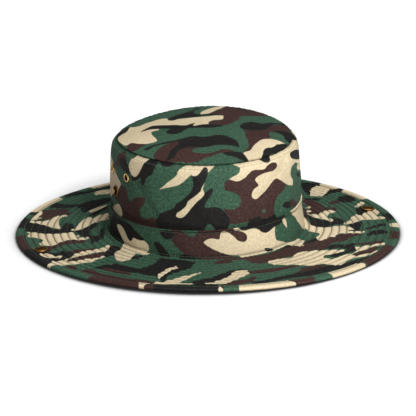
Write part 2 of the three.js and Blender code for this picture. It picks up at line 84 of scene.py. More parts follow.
# The print is four patches of colour over a green ground. Each row is a colour and the outline
# of one patch, in degrees from the front and per cent of the wall's height, painted in order.
wall_print = [
    ("tan", (-112, 86), (-104, 84), (-97, 81), (-92.5, 75), (-88, 69.5), (-82.3, 63.5), (-85.5, 58),
     (-88, 52), (-93, 48), (-98, 44), (-104, 38), (-112, 34), (-118, 45), (-120, 60), (-118, 78)),
    ("tan", (-86.5, 39.8), (-83.3, 37.8), (-82.5, 34), (-84.5, 27), (-92, 22), (-104, 16), (-112, 12),
     (-116, 18), (-108, 24), (-100, 29.5), (-92, 36)),
    ("brown", (-93, 83), (-90, 88), (-87.5, 95), (-83.5, 99), (-79.5, 96.5), (-77, 91), (-77, 86),
     (-84, 83), (-89, 80)),
    ("black", (-85.5, 91), (-81, 93), (-77, 90), (-74, 86), (-72.5, 80.5), (-75.5, 80), (-78, 80.5),
     (-83.5, 82)),
    ("brown", (-82.3, 63.5), (-77, 62.5), (-75.3, 57), (-74.7, 51), (-72, 50), (-68.5, 55.5),
     (-64.5, 58.5), (-60.5, 58.5), (-60.3, 53.5), (-62.7, 49), (-64, 44), (-63.3, 37), (-60, 36),
     (-54, 39.5), (-50, 36), (-50, 24), (-66, 18), (-84, 20), (-84, 27), (-82.5, 32), (-82.7, 36),
     (-86, 41), (-93, 43), (-98, 44), (-93, 48), (-88, 52), (-85.5, 57)),
    ("black", (-60.3, 103), (-52.5, 103), (-53.7, 92), (-54.7, 87), (-58, 83), (-59.7, 79),
     (-60.7, 73.5), (-62.3, 71.5), (-63.6, 74.5), (-63.5, 80), (-66, 77), (-68, 74.5), (-70, 73.8),
     (-71.5, 76), (-71.8, 79.5), (-69.3, 80), (-66.7, 81), (-64.7, 86), (-63.3, 91), (-62, 96)),
    ("tan", (-70.3, 103), (-70.7, 98.4), (-72.7, 96), (-74.3, 90.4), (-74, 85.6), (-72, 80.8),
     (-69.3, 78.2), (-66.7, 80.8), (-64.7, 85.6), (-63.3, 90.4), (-62, 95.2), (-60, 100), (-59, 103)),
    ("black", (-52, 104), (-50, 98), (-46, 96.8), (-42, 99), (-38, 104)),
    ("tan", (-49.8, 72), (-47.3, 76), (-44, 81.6), (-40.7, 86.4), (-38.7, 90.4), (-38, 94.4),
     (-36, 97.6), (-33.5, 100), (-32, 104), (-14, 104), (-15.5, 100), (-17, 98), (-19.3, 95),
     (-22, 93.5), (-25, 92), (-28, 89.8), (-30, 91), (-32, 88), (-34.7, 83.2), (-38, 79.2),
     (-41.3, 77.2), (-46, 74.4)),
    ("black", (-21.3, 99), (-19.8, 97), (-20.3, 90), (-21.6, 85), (-23, 79), (-21.8, 73),
     (-19.5, 76), (-17.6, 77.5), (-17, 74.5), (-18.7, 68), (-20.7, 64), (-22, 58), (-21.3, 56),
     (-17, 57), (-13, 55.5), (-10.2, 51), (-8, 45), (-7.2, 38), (-8.5, 33), (-9, 22), (-30, 18),
     (-50, 18), (-52, 30), (-53, 37), (-50.7, 41), (-50, 45), (-47.3, 48), (-43.3, 51),
     (-40.7, 53.5), (-39.3, 58.5), (-36.7, 61.5), (-34, 65.5), (-31.3, 70.5), (-29.3, 76),
     (-28.7, 82.5), (-29, 87), (-29.8, 92.3), (-28.7, 90.5), (-26.5, 91), (-24.7, 94), (-23.2, 97.5)),
    ("green", (-22.7, 29), (-21.3, 36), (-19.3, 38.2), (-17.3, 35.4), (-15.8, 29)),
    ("tan", (-21.8, 83.5), (-23.3, 79.2), (-24.7, 73.6), (-29.3, 66.4), (-32, 62.4), (-33.3, 56.8),
     (-36.7, 51.2), (-39, 48), (-39.2, 44.8), (-37.7, 43.6), (-35.3, 44.4), (-32.7, 48.8),
     (-30, 55.2), (-26.7, 62.4), (-23.3, 68), (-22.1, 72), (-22.9, 77)),
    ("tan", (0.9, 103), (0.2, 96.5), (-0.5, 92.5), (-1.8, 90.2), (-4.3, 88.8), (-7.2, 86), (-5, 84),
     (-2.7, 83), (0, 83.4), (2.8, 85), (8, 80), (12, 75), (9.3, 72), (7.7, 69), (7, 65), (8, 61),
     (10.3, 60), (13.2, 61.6), (17, 65.6), (21, 70.5), (24.2, 74.5), (26.4, 76), (28.7, 74),
     (32, 70.5), (36, 65.5), (40, 62), (43.6, 60), (45.2, 58.8), (45.8, 61), (44.9, 65.5),
     (42.9, 70.5), (42.3, 75), (42.9, 80), (46.2, 81.2), (51.3, 81.2), (55, 78), (59, 75),
     (64, 78), (72, 86), (80, 94), (84, 103)),
    ("tan", (53, 74), (56, 77), (61, 75), (61, 69), (57, 69)),
    ("black", (14.3, 103), (16.4, 98.4), (18.3, 96.3), (20.3, 95.5), (22.3, 96.3), (23.6, 98.4),
     (25.7, 103)),
    ("black", (42.7, 93), (43.5, 95.4), (46.2, 95.8), (51.3, 94.8), (56.5, 92.4), (62, 89), (68, 84),
     (72, 78), (68, 76), (62, 79), (56.5, 81.6), (52, 84), (47.4, 87), (43.8, 90)),
    ("black", (62, 103), (64, 98.5), (69, 96.5), (76, 98), (80, 103)),
    ("brown", (-10.1, 80), (-9.2, 84), (-7.2, 85.7), (-2.7, 83), (0, 83.2), (2.8, 85.2), (4.8, 88),
     (7.3, 90.8), (9.9, 91.8), (13.8, 90.6), (17, 90.2), (19.6, 92.8), (22.9, 94.5), (26.1, 93.6),
     (27.5, 90.8), (26.4, 87.6), (23.5, 85.6), (19.6, 85.8), (15.1, 85.6), (11.2, 84), (9.6, 81.6),
     (10.3, 78.8), (11.9, 75.2), (11.5, 73.2), (9.3, 72), (7.7, 69.2), (7, 64.8), (8, 61.2),
     (10.3, 60), (13.2, 61.6), (17, 65.6), (20.9, 70.4), (24.2, 74.4), (26.4, 76), (28.7, 74),
     (31.9, 70.4), (35.8, 65.6), (35.5, 63), (33, 60), (29.3, 57.6), (26, 54.4), (24.2, 50.4),
     (23.5, 44), (23.8, 39), (25.5, 33), (25, 20), (5, 20), (-5, 22), (-7, 33), (-7.2, 40),
     (-8, 45), (-10.2, 51), (-10.8, 55.2), (-8.8, 53.6), (-4.9, 52.8), (-1.7, 55.2), (-0.1, 59.2),
     (-0.1, 63.2), (-1.7, 68), (-4.3, 71.2), (-7.5, 73.2), (-9.8, 75.2)),
    ("green", (-7, 36.5), (-4, 36), (0, 37), (4, 37), (5, 35), (5, 24), (-7, 24)),
    ("green", (13.8, 45), (15.4, 47), (16.8, 45), (15.4, 43)),
    ("black", (4.8, 38), (8, 40), (12, 40.5), (13.5, 38), (17, 36.5), (21, 37.5), (24.8, 37),
     (26, 24), (4.5, 24)),
    ("black", (31.4, 43), (32.6, 45.6), (35.2, 46.4), (38.4, 44.8), (42, 45), (44, 41), (42.3, 37.2),
     (38.4, 37.6), (34.5, 39.6)),
    ("brown", (40, 45), (42.5, 45.3), (45.5, 44), (47.4, 41), (50.7, 37), (54, 33.5), (50, 32.5),
     (46, 35.5), (42, 37), (40, 40)),
    ("black", (52.3, 68.8), (55.9, 67.2), (60, 64), (60, 60), (54.6, 63.2)),
    ("tan", (78, 78), (84, 82), (92, 80), (98, 72), (95, 62), (88, 52), (82, 44), (78, 48),
     (80, 58), (76, 66)),
    ("black", (70, 60), (74, 52), (80, 36), (88, 30), (100, 34), (104, 44), (96, 46), (88, 42),
     (82, 50), (76, 62)),
    ("brown", (96, 60), (102, 50), (112, 46), (122, 50), (126, 60), (120, 68), (112, 64),
     (106, 72), (100, 80), (95, 72)),
    ("tan", (108, 92), (116, 84), (124, 80), (134, 84), (140, 92), (134, 97), (122, 99), (112, 104),
     (106, 104)),
    ("black", (112, 40), (122, 34), (136, 38), (146, 50), (152, 66), (146, 74), (140, 64),
     (132, 52), (120, 48)),
    ("tan", (128, 18), (140, 24), (152, 32), (160, 44), (156, 50), (146, 42), (134, 34), (124, 26)),
    ("brown", (150, 84), (158, 74), (166, 60), (178, 56), (188, 64), (194, 78), (186, 82),
     (178, 74), (170, 78), (164, 92), (158, 104), (150, 104)),
    ("black", (176, 104), (182, 92), (194, 88), (206, 94), (212, 104)),
    ("tan", (172, 44), (180, 34), (192, 30), (202, 38), (212, 52), (222, 60), (218, 68), (206, 64),
     (196, 52), (186, 48), (178, 52)),
    ("black", (200, 20), (206, 34), (216, 44), (228, 48), (234, 40), (226, 30), (216, 18)),
    ("brown", (212, 84), (220, 76), (230, 70), (234, 60), (239, 66), (238, 80), (230, 92),
     (220, 96)),
]


def place(angle, radius, height):
    """Points of the hat. Radius is halfway between the oval's half width and half length."""
    across = (radius - oval / 2) * np.sin(angle)
    along = -(radius + oval / 2) * np.cos(angle)
    return np.stack([across, along, height + 0 * across], axis=-1)


def foot_line(angle):
    return foot_height + 0.0011 * np.sin(angle) - 0.0027 * np.cos(angle)


def tip_line(angle):
    waves = 0.0008 * np.sin(3 * angle) - 0.0012 * np.sin(2 * angle)
    return foot_height + crown_height + 0.0021 * np.sin(angle) - 0.0027 * np.cos(angle) + waves


def band_line(angle):
    return foot_height + 0.0248 + 0.0036 * np.sin(angle) - 0.0001 * np.cos(angle)


def turned(angle, middle):
    """Angle from a middle, between half a turn back and half a turn on."""
    return (angle - middle + math.pi) % (2 * math.pi) - math.pi


def wall_radius(angle, share):
    radius = wall_foot_radius - crown_taper * np.interp(share, wall_heights, wall_inset)
    for middle, up, deep, wide, tall in wall_dents:
        across = turned(angle, math.radians(middle)) / math.radians(wide)
        radius = radius - deep * MM * np.exp(-across**2 - ((share - up) / tall) ** 2)
    for start, start_up, end, end_up, deep, wide in wall_creases:
        along = np.array(
            [math.radians(end - start) * wall_foot_radius, (end_up - start_up) * crown_height]
        )
        off = np.stack(
            [turned(angle, math.radians(start)) * wall_foot_radius, (share - start_up) * crown_height],
            axis=-1,
        )
        part = np.clip(off @ along / (along @ along), 0, 1)
        gap = np.linalg.norm(off - part[..., None] * along, axis=-1)
        radius = radius - deep * MM * np.exp(-((gap / (wide * MM)) ** 2))
    return radius


def soft_waves(turns, across, along, seed):
    """Slow uneven waves between -1 and 1 over a cloth. turns is how many waves there are in one
    turn of the hat, at most; across and along are the places on the cloth, in radians."""
    chance = np.random.default_rng(seed)
    waves = 0
    for number in range(9):
        around = chance.integers(turns // 4, turns)
        upwards = chance.uniform(-turns, turns) / 1.4
        waves = waves + np.sin(around * across + upwards * along + chance.uniform(0, 6.28))
    return waves / 4.5


def seam_ripple(angle):
    """Uneven puckers along a seam, between -1 and 1."""
    broad = np.sin(61 * angle) * np.sin(23 * angle + 1)
    fine = 0.6 * np.sin(97 * angle + np.sin(7 * angle))
    return (broad + fine) / 1.4


def hump(off):
    """A smooth hump, 1 high where off is 0 and close to nothing beyond 2."""
    return np.exp(-(off**2))


seam_pucker = 0.3 * MM
pucker_reach = 4 * MM


def wall_point(angle, share):
    low = foot_line(angle) + clearance
    high = tip_line(angle) - clearance - tip_edge
    rise = share * crown_height / wall_foot_radius
    rumple = 0.42 * MM * soft_waves(26, angle, rise, 3) + 0.13 * MM * soft_waves(90, angle, rise, 4)
    rumple = rumple * np.clip((share - 0.3) / 0.08, 0, 1) * np.clip((1 - share) / 0.06, 0, 1)
    pucker = seam_pucker * np.exp(-((1 - share) * crown_height / pucker_reach))
    radius = wall_radius(angle, share) + rumple + pucker * seam_ripple(angle)
    return place(angle, radius, low + (high - low) * share)


def cloth(name, columns, rows, point, flat):
    """A cut piece of cloth laid flat as a grid, then bent to point(angle, share) and joined end
    to end. Its UV map stays as it was cut, in millimetres."""
    bpy.ops.object.select_all(action="DESELECT")
    bpy.ops.mesh.primitive_grid_add(x_subdivisions=columns, y_subdivisions=rows, size=1)
    piece = bpy.context.object
    piece.name = name
    mesh = piece.data
    laid = np.empty(3 * len(mesh.vertices))
    mesh.vertices.foreach_get("co", laid)
    laid = laid.reshape(-1, 3) + 0.5
    angle = laid[:, 0] * 2 * math.pi
    share = laid[:, 1]
    cut = np.empty(2 * len(mesh.loops))
    mesh.uv_layers[0].data.foreach_get("uv", cut)
    cut = flat(2 * math.pi * cut[0::2], cut[1::2]) / MM
    mesh.uv_layers[0].data.foreach_set("uv", cut.ravel())
    mesh.uv_layers[0].name = "cut"
    mesh.attributes.new("angle", "FLOAT", "POINT").data.foreach_set("value", angle)
    mesh.attributes.new("share", "FLOAT", "POINT").data.foreach_set("value", share)
    mesh.vertices.foreach_set("co", point(angle, share).ravel())
    mesh.update()
    bpy.ops.object.mode_set(mode="EDIT")
    bpy.ops.mesh.select_all(action="SELECT")
    bpy.ops.mesh.remove_doubles(threshold=1e-6)
    bpy.ops.object.mode_set(mode="OBJECT")
    bpy.ops.object.shade_smooth()
    return piece


def thicken(piece, thickness):
    """Gives a piece of cloth its second face, inside the first, with a material of its own."""
    wall = piece.modifiers.new("wall", "SOLIDIFY")
    wall.thickness = thickness
    wall.offset = -1
    wall.material_offset = 1
    bpy.context.view_layer.objects.active = piece
    bpy.ops.object.modifier_apply(modifier=wall.name)
    bpy.ops.object.shade_smooth_by_angle(angle=math.radians(50))


def read_attribute(piece, name):
    values = np.empty(len(piece.data.vertices), dtype=np.float32)
    piece.data.attributes[name].data.foreach_get("value", values)
    return values.astype(float)


print_reach = 0.005
curve_steps = 4


def smooth_outline(corners):
    """A closed curve through the corners of a patch."""
    before, here, after, beyond = (np.roll(corners, shift, axis=0) for shift in (1, 0, -1, -2))
    t = (np.arange(curve_steps) / curve_steps)[:, None, None]
    leave = 0.42 * (after - before)
    arrive = 0.42 * (beyond - here)
    curve = (
        (2 * t**3 - 3 * t**2 + 1) * here
        + (t**3 - 2 * t**2 + t) * leave
        + (3 * t**2 - 2 * t**3) * after
        + (t**3 - t**2) * arrive
    )
    return curve.transpose(1, 0, 2).reshape(-1, 2)


def signed_distance(points, outline):
    """Distance of each point from an outline, less than nothing inside it."""
    nearest = np.full(len(points), np.inf)
    inside = np.zeros(len(points), dtype=bool)
    for start, end in zip(outline, np.roll(outline, -1, axis=0)):
        along = end - start
        off = points - start
        part = np.clip(off @ along / max(along @ along, 1e-12), 0, 1)
        gap = off - part[:, None] * along
        nearest = np.minimum(nearest, np.einsum("ij,ij->i", gap, gap))
        if start[1] != end[1]:
            straddles = (start[1] > points[:, 1]) != (end[1] > points[:, 1])
            crossing = start[0] + (points[:, 1] - start[1]) * along[0] / along[1]
            inside ^= straddles & (points[:, 0] < crossing)
    return np.where(inside, -1, 1) * np.sqrt(nearest)


def print_cloth(piece, points, patches, lap=None, dark_shift=0):
    """Prints patches of (colour, outline) on a piece whose vertices lie at flat points. lap is
    the length of cloth after which it meets itself, and dark_shift moves the dark patches."""
    fields = {colour: np.full(len(points), print_reach) for colour in ("tan", "brown", "black")}
    for colour, corners in patches:
        outline = smooth_outline(corners)
        low = outline.min(axis=0) - print_reach
        high = outline.max(axis=0) + print_reach
        flat = points + (0 if colour == "tan" else dark_shift)
        if lap:
            middle = (low[0] + high[0]) / 2
            flat[:, 0] = middle + (flat[:, 0] - middle + lap / 2) % lap - lap / 2
        near = np.flatnonzero(((flat > low) & (flat < high)).all(axis=1))
        gap = np.clip(signed_distance(flat[near], outline), -print_reach, print_reach)
        for other, field in fields.items():
            if other == colour:
                field[near] = np.minimum(field[near], gap)
            else:
                field[near] = np.maximum(field[near], -gap)
    for colour, field in fields.items():
        layer = piece.data.attributes.new("print_" + colour, "FLOAT", "POINT")
        layer.data.foreach_set("value", field / MM)


def paint_seam_shade(piece, strength):
    """How far each vertex lies in a stitched groove, from 0 to 1, where the cloth is painted darker as
    painted shade in the groove.
    """
    layer = piece.data.attributes.new("seam", "FLOAT", "POINT")
    layer.data.foreach_set("value", np.clip(strength, 0, 1))


def tone(red, green, blue):
    """A colour as a dye chart gives it, from 0 to 255, as light."""
    shares = np.array([red, green, blue]) / 255
    light = np.where(shares < 0.04045, shares / 12.92, ((shares + 0.055) / 1.055) ** 2.4)
    return (*light, 1)


tan_dye = tone(188, 174, 147)
green_dye = tone(55, 81, 65)
brown_dye = tone(61, 43, 40)
black_dye = tone(31, 30, 29)
edge_softness = 0.32


def node_group(name, inputs, outputs):
    """An empty shader node group, its two end nodes and a function that adds a node with the
    values of its inputs and its settings."""
    group = bpy.data.node_groups.new(name, "ShaderNodeTree")
    for label, kind, value in inputs:
        socket = group.interface.new_socket(label, in_out="INPUT", socket_type=kind)
        if value is not None:
            socket.default_value = value
    for label, kind in outputs:
        group.interface.new_socket(label, in_out="OUTPUT", socket_type=kind)

    def add(kind, values=None, **settings):
        node = group.nodes.new(kind)
        for key, value in settings.items():
            setattr(node, key, value)
        for label, value in (values or {}).items():
            node.inputs[label].default_value = value
        return node

    return group, add("NodeGroupInput"), add("NodeGroupOutput"), add


def wire(group, start, end):
    group.links.new(start, end)


# Four-colour print: the distances to the three printed colours choose the dye, with edges that
# wander by a thread or so
camouflage, given, result, add = node_group(
    "camouflage_print",
    [
        ("Tan Gap", "NodeSocketFloat", None),
        ("Brown Gap", "NodeSocketFloat", None),
        ("Black Gap", "NodeSocketFloat", None),
        ("Cloth", "NodeSocketVector", None),
        ("Ground", "NodeSocketColor", green_dye),
        ("Tan", "NodeSocketColor", tan_dye),
        ("Brown", "NodeSocketColor", brown_dye),
        ("Black", "NodeSocketColor", black_dye),
    ],
    [("Color", "NodeSocketColor")],
)
wander = add("ShaderNodeTexNoise", {"Scale": 1.1, "Detail": 1}, noise_dimensions="3D")
wire(camouflage, given.outputs["Cloth"], wander.inputs["Vector"])
spread = add("ShaderNodeMapRange", {"To Min": -0.35, "To Max": 0.35})
wire(camouflage, wander.outputs["Fac"], spread.inputs["Value"])
dyed = given.outputs["Ground"]
for label in ("Brown", "Black", "Tan"):
    moved = add("ShaderNodeMath", operation="ADD")
    wire(camouflage, given.outputs[label + " Gap"], moved.inputs[0])
    wire(camouflage, spread.outputs["Result"], moved.inputs[1])
    cover = add(
        "ShaderNodeMapRange",
        {"From Min": edge_softness, "From Max": -edge_softness},
        interpolation_type="SMOOTHSTEP",
    )
    wire(camouflage, moved.outputs[0], cover.inputs["Value"])
    mix = add("ShaderNodeMix", data_type="RGBA")
    wire(camouflage, cover.outputs["Result"], mix.inputs[0])
    wire(camouflage, dyed, mix.inputs[6])
    wire(camouflage, given.outputs[label], mix.inputs[7])
    dyed = mix.outputs[2]
wire(camouflage, dyed, result.inputs["Color"])

# Twill: fine diagonal ribs crossed by the threads, with slubs. Height drives the bump, and Tone lightens
# the ribs and darkens the grooves, as painted light on the ribs and painted shade in the grooves.
twill, given, result, add = node_group(
    "twill_weave",
    [("Cloth", "NodeSocketVector", None), ("Rib", "NodeSocketFloat", 0.6)],
    [("Height", "NodeSocketFloat"), ("Tone", "NodeSocketFloat")],
)
ribs = add(
    "ShaderNodeTexWave",
    {"Distortion": 0.6, "Detail": 1},
    wave_type="BANDS", bands_direction="DIAGONAL",
)
scale = add("ShaderNodeMath", {0: 0.444}, operation="DIVIDE")
wire(twill, given.outputs["Rib"], scale.inputs[1])
wire(twill, scale.outputs[0], ribs.inputs["Scale"])
wire(twill, given.outputs["Cloth"], ribs.inputs["Vector"])
threads = add(
    "ShaderNodeTexNoise",
    {"Scale": 1.6, "Detail": 3, "Roughness": 0.7},
    noise_dimensions="3D",
)
stretch = add("ShaderNodeMapping", {"Scale": (1, 0.45, 1)})
wire(twill, given.outputs["Cloth"], stretch.inputs["Vector"])
wire(twill, stretch.outputs["Vector"], threads.inputs["Vector"])
height = add("ShaderNodeMath", {1: 0.5}, operation="MULTIPLY_ADD")
wire(twill, ribs.outputs["Fac"], height.inputs[0])
wire(twill, threads.outputs["Fac"], height.inputs[2])
wire(twill, height.outputs[0], result.inputs["Height"])
light = add("ShaderNodeMapRange", {"From Min": 0.35, "From Max": 1.15, "To Min": 0.74, "To Max": 1.26})
wire(twill, height.outputs[0], light.inputs["Value"])
wire(twill, light.outputs["Result"], result.inputs["Tone"])

# Washed print: the dark dyes have come off the tops of the threads here and there, in small
# uneven flecks, the pale one hardly at all
washed, given, result, add = node_group(
    "washed_print",
    [
        ("Cloth", "NodeSocketVector", None),
        ("Color", "NodeSocketColor", None),
        ("Amount", "NodeSocketFloat", 0.5),
    ],
    [("Color", "NodeSocketColor")],
)
flecks = add(
    "ShaderNodeTexNoise",
    {"Scale": 0.42, "Detail": 4, "Roughness": 0.72},
    noise_dimensions="3D",
)
wire(washed, given.outputs["Cloth"], flecks.inputs["Vector"])
worn = add(
    "ShaderNodeMapRange",
    {"From Min": 0.48, "From Max": 0.68, "To Min": 0, "To Max": 1},
    clamp=False,
)
wire(washed, flecks.outputs["Fac"], worn.inputs["Value"])
how_dark = add("ShaderNodeSeparateColor", mode="HSV")
wire(washed, given.outputs["Color"], how_dark.inputs["Color"])
dark = add("ShaderNodeMapRange", {"From Min": 0.1, "From Max": 0.6, "To Min": 1, "To Max": 0.14})
wire(washed, how_dark.outputs[2], dark.inputs["Value"])
strength = add("ShaderNodeMath", operation="MULTIPLY")
wire(washed, worn.outputs["Result"], strength.inputs[0])
wire(washed, dark.outputs["Result"], strength.inputs[1])
gain = add("ShaderNodeMath", {2: 1}, operation="MULTIPLY_ADD")
wire(washed, strength.outputs[0], gain.inputs[0])
wire(washed, given.outputs["Amount"], gain.inputs[1])
faded = add("ShaderNodeVectorMath", operation="SCALE")
wire(washed, given.outputs["Color"], faded.inputs[0])
wire(washed, gain.outputs[0], faded.inputs["Scale"])
wire(washed, faded.outputs[0], result.inputs["Color"])

# Handling: large soft patches where the dye is paler or the cloth a little soiled
handled, given, result, add = node_group(
    "handled_cloth",
    [("Vector", "NodeSocketVector", None), ("Amount", "NodeSocketFloat", 0.1)],
    [("Tone", "NodeSocketFloat")],
)
clouds = add("ShaderNodeTexNoise", {"Scale": 28, "Detail": 4}, noise_dimensions="3D")
wire(handled, given.outputs["Vector"], clouds.inputs["Vector"])
centre = add("ShaderNodeMath", {1: 0.5}, operation="SUBTRACT")
wire(handled, clouds.outputs["Fac"], centre.inputs[0])
tint = add("ShaderNodeMath", {2: 1}, operation="MULTIPLY_ADD")
wire(handled, centre.outputs[0], tint.inputs[0])
wire(handled, given.outputs["Amount"], tint.inputs[1])
wire(handled, tint.outputs[0], result.inputs["Tone"])


def twill_material(name, fade=0.0, bump=0.25, handling=0.35):
    """Printed twill. fade mixes the dyes towards the undyed back of the cloth."""
    material = bpy.data.materials.new(name)
    material.use_nodes = True
    tree = material.node_tree
    shader = tree.nodes["Principled BSDF"]
    shader.inputs["Roughness"].default_value = 0.7
    shader.inputs["Specular IOR Level"].default_value = 0.22
    cut = tree.nodes.new("ShaderNodeUVMap")
    cut.uv_map = "cut"
    place_on_piece = tree.nodes.new("ShaderNodeTexCoord")
    print_node = tree.nodes.new("ShaderNodeGroup")
    print_node.node_tree = camouflage
    wire(tree, cut.outputs["UV"], print_node.inputs["Cloth"])
    for label in ("Tan", "Brown", "Black"):
        gap = tree.nodes.new("ShaderNodeAttribute")
        gap.attribute_name = "print_" + label.lower()
        wire(tree, gap.outputs["Fac"], print_node.inputs[label + " Gap"])
    weave = tree.nodes.new("ShaderNodeGroup")
    weave.node_tree = twill
    wire(tree, cut.outputs["UV"], weave.inputs["Cloth"])
    wear = tree.nodes.new("ShaderNodeGroup")
    wear.node_tree = handled
    wear.inputs["Amount"].default_value = handling
    wire(tree, place_on_piece.outputs["Object"], wear.inputs["Vector"])
    both = tree.nodes.new("ShaderNodeMath")
    both.operation = "MULTIPLY"
    wire(tree, weave.outputs["Tone"], both.inputs[0])
    wire(tree, wear.outputs["Tone"], both.inputs[1])
    # Painted shade: the seam attribute darkens the cloth to about a third in the stitched grooves and along
    # the seams.
    seam = tree.nodes.new("ShaderNodeAttribute")
    seam.attribute_name = "seam"
    groove_shade = tree.nodes.new("ShaderNodeMapRange")
    groove_shade.inputs["To Min"].default_value = 1
    groove_shade.inputs["To Max"].default_value = 0.34
    wire(tree, seam.outputs["Fac"], groove_shade.inputs["Value"])
    all_tones = tree.nodes.new("ShaderNodeMath")
    all_tones.operation = "MULTIPLY"
    wire(tree, both.outputs[0], all_tones.inputs[0])
    wire(tree, groove_shade.outputs["Result"], all_tones.inputs[1])
    undyed = tree.nodes.new("ShaderNodeMix")
    undyed.data_type = "RGBA"
    undyed.inputs[0].default_value = fade
    undyed.inputs[7].default_value = tone(150, 142, 120)
    thin = tree.nodes.new("ShaderNodeGroup")
    thin.node_tree = washed
    thin.inputs["Amount"].default_value = 0.6
    wire(tree, cut.outputs["UV"], thin.inputs["Cloth"])
    wire(tree, print_node.outputs["Color"], thin.inputs["Color"])
    wire(tree, thin.outputs["Color"], undyed.inputs[6])
    lit = tree.nodes.new("ShaderNodeVectorMath")
    lit.operation = "SCALE"
    wire(tree, undyed.outputs[2], lit.inputs[0])
    wire(tree, all_tones.outputs[0], lit.inputs["Scale"])
    wire(tree, lit.outputs[0], shader.inputs["Base Color"])
    relief = tree.nodes.new("ShaderNodeBump")
    relief.inputs["Strength"].default_value = bump
    relief.inputs["Distance"].default_value = 0.3 * MM
    wire(tree, weave.outputs["Height"], relief.inputs["Height"])
    wire(tree, relief.outputs["Normal"], shader.inputs["Normal"])
    return material


printed_face = twill_material("printed_twill")
printed_back = twill_material("twill_back", fade=0.55, bump=0.2)


def wall_flat(angle, share):
    return np.stack([angle * wall_foot_radius, share * crown_height], axis=-1)


crown_wall = cloth("crown_wall_cloth", wall_columns, wall_rows, wall_point, wall_flat)

# Round holes for the vents, cut before the cloth gets its thickness
vent_up = 0.0652
vent_angles = (-75.6, -96.5, 83.5, 104.4)
hole_radius = 0.0032


def punch(piece, centres, radius):
    """Cuts round holes in a single layer of cloth by removing the vertices within radius."""
    bpy.ops.object.mode_set(mode="EDIT")
    bpy.ops.mesh.select_mode(type="VERT")
    bpy.ops.mesh.select_all(action="DESELECT")
    bpy.ops.object.mode_set(mode="OBJECT")
    for corner in piece.data.vertices:
        corner.select = any((corner.co - centre).length < radius for centre in centres)
    bpy.ops.object.mode_set(mode="EDIT")
    bpy.ops.mesh.delete(type="VERT")
    bpy.ops.object.mode_set(mode="OBJECT")


def seat_at(here, right, further):
    """How a fitting sits on cloth: across, along and out of it, then its place. The other two
    points lie close by on the cloth."""
    across = Vector(right - here).normalized()
    out = across.cross(Vector(further - here)).normalized()
    seat = Matrix.Identity(4)
    seat.col[0][:3] = across
    seat.col[1][:3] = out.cross(across)
    seat.col[2][:3] = out
    seat.col[3][:3] = here
    return seat


def wall_seat(angle, up):
    """Where a fitting sits on the wall."""
    share = up / crown_height
    angle = np.array([angle, angle + 1e-4, angle])
    here, right, above = wall_point(angle, np.array([share, share, share + 1e-4]))
    return seat_at(here, right, above)


vent_seats = [wall_seat(math.radians(angle), vent_up) for angle in vent_angles]
punch(crown_wall, [seat.translation for seat in vent_seats], hole_radius)
thicken(crown_wall, crown_cloth)


def round_patches(rows, radius, height):
    """Patches charted in degrees and per cent, as flat outlines."""
    scale = np.array([math.radians(1) * radius, height / 100])
    return [(row[0], np.array(row[1:], dtype=float) * scale) for row in rows]


wall_share = read_attribute(crown_wall, "share")
wall_points = wall_flat(read_attribute(crown_wall, "angle"), wall_share)
wall_lap = 2 * math.pi * wall_foot_radius
print_cloth(crown_wall, wall_points, round_patches(wall_print, wall_foot_radius, crown_height), wall_lap)
# Painted shade along the top seam of the wall, under the tip.
paint_seam_shade(crown_wall, 0.5 * hump((1 - wall_share) * crown_height / (0.9 * MM)))
crown_wall.data.materials.append(printed_face)
crown_wall.data.materials.append(printed_back)
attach(crown_wall, "root")
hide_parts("crown_wall")


